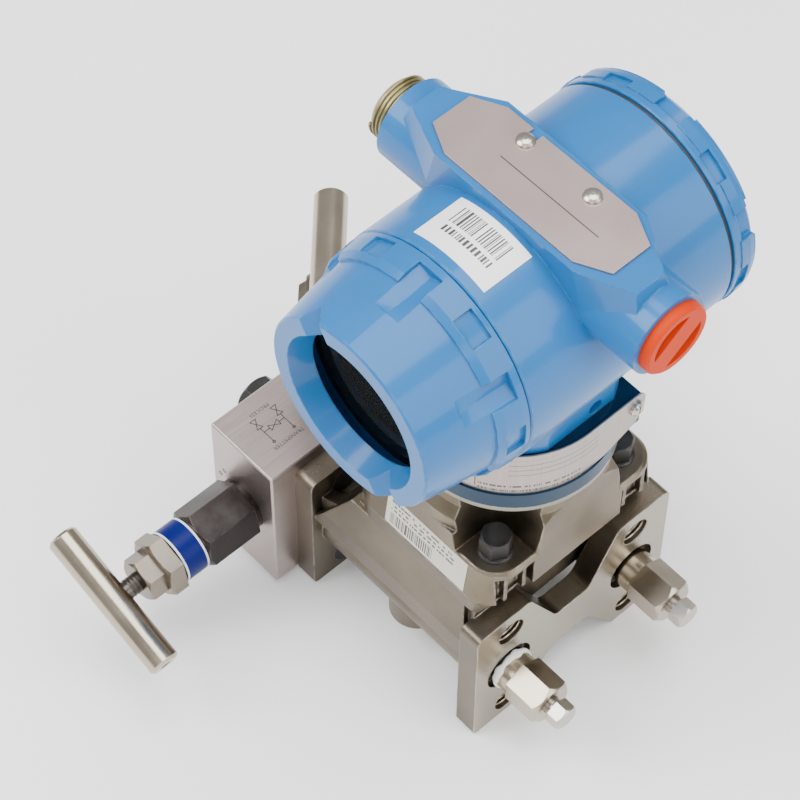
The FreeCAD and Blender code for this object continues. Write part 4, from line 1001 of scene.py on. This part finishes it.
    def dress_nodes(self, finish: Finish, *nodes: str) -> None:
        """Give construction nodes one finish.

        Args:
            finish: the finish.
            nodes: the nodes' names.
        """
        for node in nodes:
            self.dress(frame["nodes"][node], finish)
            LOG.info("dressed %s as %s", node, finish.name)

    def settle(self, piece: bpy.types.Object, finish: Finish, body: str) -> None:
        """Dress a new piece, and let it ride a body.

        Args:
            piece: the finished piece.
            finish: its finish.
            body: the body it moves with.
        """
        self.dress(piece, finish)
        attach(piece, body)
        LOG.info("made %s on %s", piece.name, body)


# ---- Sub-assemblies -----------------------------------------------------------------------


@dataclass
class Valve:
    """One needle valve: finishes of its pieces, stem thread and label band."""

    name: str
    direction: Vector
    pitch: float = 1.25 * MM
    crest: float = 0.22 * MM
    edge_line: float = 0.7 * MM
    overlap: float = 0.4 * MM

    def build(self, palette: Palette) -> None:
        """Dress the nodes and add the stem's thread.

        Args:
            palette: the finishes.
        """
        palette.dress_nodes(palette.brown, f"{self.name}_bonnet")
        palette.dress_nodes(palette.nut, f"{self.name}_lock_nut", f"{self.name}_packing_nut")
        palette.dress_nodes(palette.turned, f"{self.name}_handle")
        palette.dress_nodes(palette.worked, f"{self.name}_stem")
        palette.dress_nodes(self._band(), f"{self.name}_label_band")
        self._thread(palette)

    def _axis(self) -> Axis:
        """The row axis that the valve lies along."""
        return Axis.Z if abs(self.direction.z) > 0.5 else Axis.Y

    def _band(self) -> Finish:
        """Blue label band with a white line at each edge.

        Returns:
            The band's finish.
        """
        low, high = corners(f"{self.name}_label_band")
        axis = self._axis()
        first, last = low[axis.value], high[axis.value]
        white: Colour = (0.72, 0.74, 0.75)
        zones = (Zone(axis, first - MM, first + self.edge_line, white, 0.4),
                 Zone(axis, last - self.edge_line, last + MM, white, 0.4))
        return Finish(
            f"{self.name}_band", (0.001, 0.005, 0.10), (0.001, 0.007, 0.12), metallic=0.0,
            roughness=0.35, spread=0.05, scale=700.0, depth=0.05, edge_width=0.0001, zones=zones,
            dust=0.0, specular=0.15)

    def _thread(self, palette: Palette) -> None:
        """Thread on the stem between the packing nut and the handle.

        Args:
            palette: the finishes.
        """
        place = self._axis().value
        sign = 1.0 if self.direction[place] > 0 else -1.0
        nut_low, nut_high = corners(f"{self.name}_packing_nut")
        bar_low, bar_high = corners(f"{self.name}_handle")
        stem_low, stem_high = corners(f"{self.name}_stem")
        centre = middle(f"{self.name}_stem")
        start = nut_high[place] if sign > 0 else nut_low[place]
        end = bar_low[place] if sign > 0 else bar_high[place]
        radius = (stem_high[0] - stem_low[0]) / 2
        at = Vector(centre)
        at[place] = start
        length = abs(end - start) + self.overlap
        piece = Bench.thread(f"{self.name}_stem_thread", at, self.direction, length, radius,
                             radius + self.crest, self.pitch)
        palette.settle(piece, palette.worked, f"{self.name}_spindle")


@dataclass
class DrainValve:
    """One drain valve in the flange's face."""

    name: str
    taped: bool
    neck_length: float = 1.9 * MM
    neck_root: float = 3.1 * MM
    neck_crest: float = 3.25 * MM
    neck_pitch: float = 0.8 * MM
    tape_radius: float = 7.0 * MM
    tape_width: float = 2.4 * MM
    tape_swell: float = 0.6 * MM

    def build(self, palette: Palette) -> None:
        """Dress the valve, and wind tape under its collar where it has some.

        Args:
            palette: the finishes.
        """
        palette.dress_nodes(palette.turned, f"{self.name}_drain_body")
        palette.dress_nodes(palette.bright, f"{self.name}_drain_stem")
        high = corners(f"{self.name}_drain_body")[1]
        centre = middle(f"{self.name}_drain_body")
        face = corners("process_flange")[1].x
        neck = Bench.thread(f"{self.name}_drain_thread", Vector((high.x, centre.y, centre.z)),
                            Vector((1, 0, 0)), self.neck_length, self.neck_root, self.neck_crest,
                            self.neck_pitch)
        palette.settle(neck, palette.bright, f"{self.name}_drain_spindle")
        if self.taped:
            tape = Bench.tape(f"{self.name}_sealing_tape", Vector((face, centre.y, centre.z)),
                              Vector((1, 0, 0)), self.tape_radius, self.tape_width,
                              self.tape_swell)
            palette.settle(tape, palette.white, "flange_and_module")


@dataclass
class Flange:
    """Cast process flange: cast skin, machined faces and tapped holes."""

    thread_pitch: float = 1.27 * MM
    thread_relief: float = 0.6 * MM
    thread_depth: float = 13.0 * MM
    thread_start: float = 0.3 * MM
    machined_skin: float = 0.06 * MM

    def build(self, palette: Palette) -> None:
        """Dress the casting and thread its open holes.

        Args:
            palette: the finishes.
        """
        low, high = corners("process_flange")
        skin = self.machined_skin
        bright: Colour = (0.37, 0.33, 0.265)
        zones = (Zone(Axis.X, high.x - skin, high.x + MM, bright, 0.26),
                 Zone(Axis.X, low.x - MM, low.x + skin, bright, 0.26))
        palette.dress_nodes(Finish(
            "cast_flange", (0.108, 0.089, 0.065), (0.19, 0.161, 0.122), metallic=1.0,
            roughness=0.38, spread=0.06, scale=1300.0, blotch=34.0, depth=0.4, wear_and_highlight=0.5,
            worn_and_highlight=(0.6, 0.57, 0.53), edge_width=0.0007, zones=zones, dust=0.02), "process_flange")
        pattern = next(m for m in frame["record"]["mounts"] if m["name"] == "bracket_holes")
        centre = Vector(pattern["pos_m"])
        root = pattern["dims"]["hole_r_mm"] * MM
        wide = pattern["dims"]["spacing_x_mm"] * MM / 2
        tall = pattern["dims"]["spacing_y_mm"] * MM / 2
        threads = []
        for y in (-wide, wide):
            for z in (-tall, tall):
                at = centre + Vector((-self.thread_start, y, z))
                threads.append(Bench.thread("tapped", at, Vector((-1, 0, 0)), self.thread_depth,
                                            root, root - self.thread_relief, self.thread_pitch))
        piece = Bench.joined("bracket_hole_threads", threads)
        palette.settle(piece, palette.turned, "flange_and_module")


@dataclass
class Manifold:
    """Machined block, its bolts and ports, and the engraved flow diagram."""

    line: float = 0.3 * MM
    height: float = 0.03 * MM
    proud: float = 0.4
    stroke_ease: float = 0.005 * MM
    sign_half: float = 1.9 * MM
    sign_slope: float = 0.62
    sign_in: float = 10.2 * MM
    line_run: float = 8.6 * MM
    bridge_in: float = 3.8 * MM
    lines_y: Tuple[float, float] = (-40.4 * MM, -32.0 * MM)
    word_size: float = 1.9 * MM
    process_word_out: float = 3.6 * MM
    transmitter_word_out: float = 2.2 * MM
    dot_radius: float = 0.6 * MM
    dot_line: float = 0.35 * MM
    punch_radius: float = 0.9 * MM
    punch_line: float = 0.5 * MM
    punches: Tuple[Tuple[float, float], ...] = ((5.5 * MM, 21.0 * MM), (3.6 * MM, 24.5 * MM))
    port_start: float = 0.3 * MM
    port_depth: float = 13.0 * MM
    port_relief: float = 0.9 * MM
    port_pitch: float = 1.814 * MM

    def build(self, palette: Palette) -> None:
        """Dress the block, thread its ports and engrave it.

        Args:
            palette: the finishes.
        """
        palette.dress_nodes(palette.machined, "manifold_block")
        palette.dress_nodes(palette.black, "manifold_bolts")
        palette.dress_nodes(palette.white, "manifold_seals")
        self._ports(palette)
        self._diagram(palette)
        self._punch_marks(palette)

    def _ports(self, palette: Palette) -> None:
        """Inside threads of the two process ports.

        Args:
            palette: the finishes.
        """
        threads = []
        for mount in frame["record"]["mounts"]:
            if mount["kind"] == "threaded_hole":
                radius = mount["dims"]["r_mm"] * MM
                outward = Vector(mount["axis"])
                at = Vector(mount["pos_m"]) - outward * self.port_start
                threads.append(Bench.thread("port", at, -outward, self.port_depth, radius,
                                            radius - self.port_relief, self.port_pitch))
        piece = Bench.joined("process_port_threads", threads)
        palette.settle(piece, palette.turned, "flange_and_module")

    def _stroke(self, start: Tuple[float, float], end: Tuple[float, float],
                top: float) -> bpy.types.Object:
        """One straight engraved line on the block's top.

        Args:
            start: X and Y of one end.
            end: X and Y of the other.
            top: Z of the top face.

        Returns:
            The line.
        """
        first, last = Vector((*start, top)), Vector((*end, top))
        along = last - first
        size = (along.length, self.line, self.height)
        piece = Bench.plate("stroke", Vector((0, 0, 0)), size, self.stroke_ease)
        piece.rotation_euler = (0, 0, math.atan2(along.y, along.x))
        piece.location = (first + last) / 2
        return Bench.apply_all(piece)

    def _sign(self, x: float, y: float, along: Vector, top: float) -> List[bpy.types.Object]:
        """A valve sign: two triangles that meet at their tips.

        Args:
            x: X of its middle.
            y: Y of its middle.
            along: unit vector along the pipe.
            top: Z of the top face.

        Returns:
            The strokes.
        """
        side = Vector((-along.y, along.x))
        centre = Vector((x, y))
        far, wide = along * self.sign_half, side * self.sign_half * self.sign_slope
        ends = [centre - far - wide, centre - far + wide, centre + far - wide, centre + far + wide]
        pairs = ((0, 1), (1, 2), (2, 3), (3, 0))
        return [self._stroke(tuple(ends[first]), tuple(ends[last]), top) for first, last in pairs]

    def _diagram(self, palette: Palette) -> None:
        """Generic flow diagram: two lines to dots, a bridge, three signs and two words.

        Args:
            palette: the finishes.
        """
        low, high = corners("manifold_block")
        top = high.z + self.height * self.proud
        marks: List[bpy.types.Object] = []
        sign_x = low.x + self.sign_in
        tip_x = sign_x + self.line_run
        bridge_x = sign_x + self.bridge_in
        for y in self.lines_y:
            marks.extend(self._sign(sign_x, y, Vector((1.0, 0.0)), top))
            marks.append(self._stroke((sign_x + self.sign_half, y), (tip_x, y), top))
            marks.append(Bench.ring("dot", Vector((tip_x, y, top)), Vector((0, 0, 1)),
                                    self.dot_radius, self.dot_line, self.height))
        middle_y = sum(self.lines_y) / 2
        marks.extend(self._sign(bridge_x, middle_y, Vector((0.0, 1.0)), top))
        for y, way in zip(self.lines_y, (1.0, -1.0)):
            tip_y = middle_y - way * self.sign_half
            marks.append(self._stroke((bridge_x, y), (bridge_x, tip_y), top))
        for word, x in (("PROCESS", sign_x - self.process_word_out),
                        ("TRANSMITTER", tip_x + self.transmitter_word_out)):
            marks.append(self._word(word, Vector((x, middle_y, top - self.height * 0.5))))
        piece = Bench.joined("flow_diagram", marks)
        palette.settle(piece, palette.ink, "flange_and_module")

    def _word(self, word: str, place: Vector) -> bpy.types.Object:
        """One engraved generic word across the block, read from the +X side.

        Args:
            word: the word.
            place: its middle on the face.

        Returns:
            The word as a mesh.
        """
        Bench.clear()
        bpy.ops.object.text_add()
        piece = bpy.context.object
        piece.data.body = word
        piece.data.align_x = "CENTER"
        piece.data.align_y = "CENTER"
        piece.data.size = self.word_size
        piece.data.resolution_u = 2
        piece.data.extrude = self.height
        bpy.ops.object.convert(target="MESH")
        piece = bpy.context.object
        piece.rotation_euler = (0, 0, -math.pi / 2)
        piece.location = place
        return Bench.apply_all(piece)

    def _punch_marks(self, palette: Palette) -> None:
        """Two small punched dots on the low end.

        Args:
            palette: the finishes.
        """
        low, high = corners("manifold_block")
        dots = []
        for x_in, z_down in self.punches:
            spot = Vector((low.x + x_in, low.y + 0.01 * MM, high.z - z_down))
            dots.append(Bench.ring("dot", spot, Vector((0, -1, 0)), self.punch_radius,
                                   self.punch_line, self.height))
        piece = Bench.joined("punch_marks", dots)
        palette.settle(piece, palette.ink, "flange_and_module")


@dataclass
class Module:
    """Sensor module: cast skin, polished ring, collar, rating plate and label."""

    draft: float = 1.8 * MM
    base_height: float = 14.3 * MM
    ring_height: float = 2.4 * MM
    # bottom, top and step in millimetres, two angles in degrees, then share, scale and cut
    plate_blocks: Tuple[Tuple[float, ...], ...] = (
        (1.2, 5.2, 2.2, -62, -5, 0.42, 1900.0, 0.46), (9.6, 17.2, 2.5, -46, 7, 0.1, 900.0, 0.0),
        (3.0, 15.5, 2.6, -80, -67, 0.12, 900.0, 0.0), (3.0, 15.5, 2.6, -98, -84, 0.12, 900.0, 0.0),
        (3.0, 15.5, 2.6, -125, -103, 0.12, 900.0, 0.0),
        (2.0, 9.0, 10.0, -63.5, -62.8, 1.0, 900.0, 0.0),
        (2.0, 9.0, 10.0, -82.0, -81.3, 1.0, 900.0, 0.0),
        (2.0, 9.0, 10.0, -101.0, -100.3, 1.0, 900.0, 0.0))
    label_thickness: float = 0.12 * MM
    label_width: float = 35.0 * MM
    label_tall: float = 13.6 * MM
    label_foot: float = 0.9 * MM
    label_x: float = 2.2 * MM
    print_left: float = 15.5 * MM
    lines_z: Tuple[float, float] = (0.6 * MM, 6.0 * MM)
    lines_right: float = 12.0 * MM
    bars_z: Tuple[float, float] = (-5.6 * MM, -0.6 * MM)
    bars_right: float = 3.0 * MM

    def build(self, palette: Palette) -> None:
        """Dress the module's nodes and add its label.

        Args:
            palette: the finishes.
        """
        low, high = corners("sensor_module")
        ring = high.z - self.ring_height
        zones = (Zone(Axis.Z, ring - 0.02 * MM, high.z + MM, (0.24, 0.22, 0.185), 0.14),)
        palette.dress_nodes(Finish(
            "cast_module", (0.105, 0.082, 0.054), (0.22, 0.182, 0.130), metallic=1.0,
            roughness=0.36, spread=0.06, scale=1400.0, blotch=38.0, depth=0.35, wear_and_highlight=0.5,
            worn_and_highlight=(0.65, 0.61, 0.56), edge_width=0.0008, zones=zones, dust=0.02), "sensor_module")
        palette.dress_nodes(palette.white, "module_seals")
        palette.dress_nodes(palette.black, "module_bolts")
        # The collar's darker blue is painted shade under the housing.
        palette.dress_nodes(palette.painted_shade_blue, "module_collar")
        palette.dress_nodes(palette.bright, "rating_plate_screw")
        palette.dress_nodes(PrintedFinish(
            "rating_plate_sheet", (0.36, 0.31, 0.285), (0.41, 0.355, 0.33), metallic=0.85,
            roughness=0.36, spread=0.04, relief=Relief.BRUSHED_Z, scale=1500.0, depth=0.04,
            wear_and_highlight=0.3, worn_and_highlight=(0.8, 0.77, 0.74), ink=(0.09, 0.075, 0.07), dust=0.0,
            prints=self._plate_prints()), "rating_plate")
        self._label(palette, low)

    def _plate_prints(self) -> Tuple[Print, ...]:
        """Rows, long lines and short dividers of the rating plate, round the module's axis.

        Returns:
            The printed blocks.
        """
        low, high = corners("rating_plate")
        degree = high.x * math.pi / 180
        return tuple(Print(Axis.Z, low.z + bottom * MM, low.z + top * MM, step * MM,
                           first * degree, last * degree, share, scale, cut, high.x)
                     for bottom, top, step, first, last, share, scale, cut in self.plate_blocks)

    def _label(self, palette: Palette, low: Vector) -> None:
        """White adhesive label with small print and bars on the base's sloping -Y side.

        Args:
            palette: the finishes.
            low: the module's lowest corner.
        """
        lean = math.atan2(self.draft, self.base_height)
        rise = self.label_foot + self.label_tall / 2
        out = self.label_thickness / 2 + 0.01 * MM
        face_y = low.y + rise * math.tan(lean)
        centre = Vector((self.label_x, face_y, low.z + rise))
        size = (self.label_width, self.label_thickness, self.label_tall)
        label = Bench.plate("module_label", Vector((0, 0, 0)), size, 0.03 * MM)
        label.rotation_euler = (-lean, 0, 0)
        label.location = centre + Vector((0, -out * math.cos(lean), out * math.sin(lean)))
        Bench.apply_all(label)
        left = centre.x - self.print_left
        lines = [centre.z + edge for edge in self.lines_z]
        bars = [centre.z + edge for edge in self.bars_z]
        prints = (Print(Axis.Z, *lines, 1.9 * MM, left, centre.x + self.lines_right,
                        scale=1000.0, cut=0.46),
                  Print(Axis.Z, *bars, 6.0 * MM, left, centre.x + self.bars_right, share=1.0,
                        scale=2200.0, cut=0.49))
        palette.settle(label, PrintedFinish(
            "module_label_paper", (0.55, 0.52, 0.43), (0.61, 0.58, 0.49), metallic=0.0,
            roughness=0.45, spread=0.04, scale=800.0, depth=0.03, edge_width=0.00005, dust=0.0,
            ink=(0.05, 0.05, 0.055), prints=prints), "flange_and_module")


@dataclass
class Housing:
    """Electronics housing with its covers, window, plates and entries."""

    shell_radius: float = 38.0 * MM
    sticker_start: float = 69.0
    sticker_end: float = 111.7
    sticker_low: float = -27.8 * MM
    sticker_high: float = -10.0 * MM
    sticker_thickness: float = 0.1 * MM
    marks_y: Tuple[float, float] = (-22.6 * MM, -20.2 * MM)
    bars_y: Tuple[float, float] = (-18.9 * MM, -12.4 * MM)
    print_x: Tuple[float, float] = (-10.0 * MM, 9.0 * MM)
    tag_line_y: Tuple[float, float] = (-1.6 * MM, -1.2 * MM)
    tag_line_x: Tuple[float, float] = (-14 * MM, 24 * MM)
    nipple_length: float = 7.0 * MM
    nipple_root: float = 9.7 * MM
    nipple_crest: float = 10.7 * MM
    nipple_pitch: float = 1.35 * MM

    def build(self, palette: Palette) -> None:
        """Dress the housing's nodes and add its sticker and threads.

        Args:
            palette: the finishes.
        """
        palette.dress_nodes(palette.blue, "electronics_housing", "display_cover",
                            "terminal_cover")
        palette.dress_nodes(palette.rubber, "display_cover_seal", "terminal_cover_seal")
        palette.dress_nodes(palette.dark, "glass_retainer", "terminal_block")
        palette.dress_nodes(palette.bright, "terminal_screws", "rotation_set_screw",
                            "tag_pivot_screw", "tag_lock_screw")
        palette.dress_nodes(palette.glass, "cover_glass")
        palette.dress_nodes(palette.grey, "electronics_board")
        palette.dress_nodes(palette.orange, "conduit_plug")
        palette.dress_nodes(palette.olive, "conduit_adapter")
        palette.dress_nodes(palette.screen, "display_module")
        self._tag(palette)
        self._sticker(palette)
        self._nipple_thread(palette)

    def _tag(self, palette: Palette) -> None:
        """Tag plate with its one printed line.

        Args:
            palette: the finishes.
        """
        centre = middle("tag_plate")
        heights = [centre.y + edge for edge in self.tag_line_y]
        ends = [centre.x + edge for edge in self.tag_line_x]
        line = Print(Axis.Y, *heights, MM, *ends, share=1.0, cut=0.0)
        palette.dress_nodes(PrintedFinish(
            "tag_plate_sheet", (0.40, 0.32, 0.303), (0.425, 0.343, 0.325), metallic=0.85,
            roughness=0.38, spread=0.02, relief=Relief.GRAIN, scale=900.0, depth=0.03, wear_and_highlight=0.3,
            worn_and_highlight=(0.86, 0.82, 0.8), edge_width=0.0002, ink=(0.10, 0.085, 0.08), dust=0.0,
            prints=(line,)), "tag_plate")

    def _sticker(self, palette: Palette) -> None:
        """White bent sticker on the housing, with small print.

        Args:
            palette: the finishes.
        """
        axis_at = Vector((0, 0, middle("display_cover").z))
        label = Bench.bent_label("housing_sticker", axis_at, self.shell_radius + 0.01 * MM,
                                 self.sticker_start, self.sticker_end, self.sticker_low,
                                 self.sticker_high, self.sticker_thickness)
        prints = (Print(Axis.Y, *self.marks_y, 2.5 * MM, *self.print_x, share=1.0,
                        scale=1300.0, cut=0.49),
                  Print(Axis.Y, *self.bars_y, 7.0 * MM, *self.print_x, share=1.0,
                        scale=2100.0, cut=0.5))
        palette.settle(label, PrintedFinish(
            "housing_sticker_paper", (0.84, 0.84, 0.84), (0.88, 0.88, 0.88), metallic=0.0,
            roughness=0.42, spread=0.04, scale=800.0, depth=0.03, edge_width=0.00005, dust=0.0,
            ink=(0.05, 0.05, 0.055), prints=prints), "housing")

    def _nipple_thread(self, palette: Palette) -> None:
        """Male thread of the conduit nipple.

        Args:
            palette: the finishes.
        """
        centre = middle("conduit_adapter")
        face = corners("electronics_housing")[0].x
        piece = Bench.thread("nipple_thread", Vector((face - 0.2 * MM, centre.y, centre.z)),
                             Vector((-1, 0, 0)), self.nipple_length, self.nipple_root,
                             self.nipple_crest, self.nipple_pitch)
        palette.settle(piece, palette.olive, "housing")


# ---- Studio -------------------------------------------------------------------------------


@dataclass
class Studio:
    """Pale floor, soft lights and the camera."""

    camera_at: Point = (0.3424, -0.3640, 0.8384)
    forward: Point = (-0.4149, 0.3862, -0.8238)
    right: Point = (0.6813, 0.7320, 0.0)
    down: Point = (0.6030, -0.5613, -0.5668)
    roll: float = -0.55
    lens: float = 132.97
    sensor: float = 36.0
    aim_height: float = 0.1
    sky: float = 0.6
    floor_size: float = 6.0
    floor_drop: float = 0.0002
    floor_shade: float = 0.97
    floor_roughness: float = 0.9
    clip: Tuple[float, float] = (0.01, 20.0)
    lamps: Tuple[Tuple[str, Point, float, float], ...] = (
        ("key", (-0.9, -1.1, 1.6), 42.0, 1.2), ("front", (0.9, -1.2, 0.9), 11.0, 1.0),
        ("fill", (1.5, 0.5, 1.0), 18.0, 1.2), ("top", (0.1, 0.2, 2.0), 50.0, 1.6))

    def build(self) -> None:
        """Set the floor, the lights and the camera."""
        self._floor()
        self._lights()
        self._camera()

    def _floor(self) -> None:
        """A large pale floor under the feet."""
        Bench.clear()
        bpy.ops.mesh.primitive_plane_add(size=self.floor_size, location=(0, 0, -self.floor_drop))
        floor = bpy.context.object
        floor.name = "floor"
        made = bpy.data.materials.new("pale_floor")
        made.use_nodes = True
        shader = made.node_tree.nodes["Principled BSDF"]
        shader.inputs["Base Color"].default_value = (*(self.floor_shade,) * 3, 1.0)
        shader.inputs["Roughness"].default_value = self.floor_roughness
        floor.data.materials.append(made)

    def _lights(self) -> None:
        """Large soft lights round the object and an even sky."""
        target = Vector((0, 0, self.aim_height))
        for name, place, power, size in self.lamps:
            lamp = bpy.data.lights.new(name, "AREA")
            lamp.energy = power
            lamp.size = size
            thing = bpy.data.objects.new(name, lamp)
            bpy.context.scene.collection.objects.link(thing)
            thing.location = place
            thing.rotation_euler = (target - Vector(place)).to_track_quat("-Z", "Y").to_euler()
        world = bpy.context.scene.world or bpy.data.worlds.new("studio")
        bpy.context.scene.world = world
        world.use_nodes = True
        background = world.node_tree.nodes.get("Background")
        background.inputs["Color"].default_value = (1.0, 1.0, 1.0, 1.0)
        background.inputs["Strength"].default_value = self.sky

    def _camera(self) -> None:
        """Camera at the viewing angle, with its small roll."""
        lens = bpy.data.cameras.new("view")
        lens.lens = self.lens
        lens.sensor_width = self.sensor
        lens.clip_start, lens.clip_end = self.clip
        thing = bpy.data.objects.new("view", lens)
        bpy.context.scene.collection.objects.link(thing)
        turn = math.radians(self.roll)
        right, down, forward = Vector(self.right), Vector(self.down), Vector(self.forward)
        across = right * math.cos(turn) + down * math.sin(turn)
        below = down * math.cos(turn) - right * math.sin(turn)
        columns = (across.normalized(), (-below).normalized(), (-forward).normalized())
        matrix = Matrix([[columns[c][r] for c in range(3)] for r in range(3)]).to_4x4()
        matrix.translation = Vector(self.camera_at)
        thing.matrix_world = matrix
        bpy.context.scene.camera = thing


def main() -> None:
    """Dress and finish the whole transmitter."""
    logging.basicConfig(level=logging.INFO, format="%(name)s: %(message)s")
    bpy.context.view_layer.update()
    palette = Palette()
    Flange().build(palette)
    Manifold().build(palette)
    Module().build(palette)
    Housing().build(palette)
    for name, direction in (("low_isolate", (0, -1, 0)), ("high_isolate", (0, 1, 0)),
                            ("equalise", (0, 0, 1))):
        Valve(name, Vector(direction)).build(palette)
    for drain in (DrainValve("low", True), DrainValve("high", False)):
        drain.build(palette)
    Studio().build()


if __name__ == "__main__":
    main()
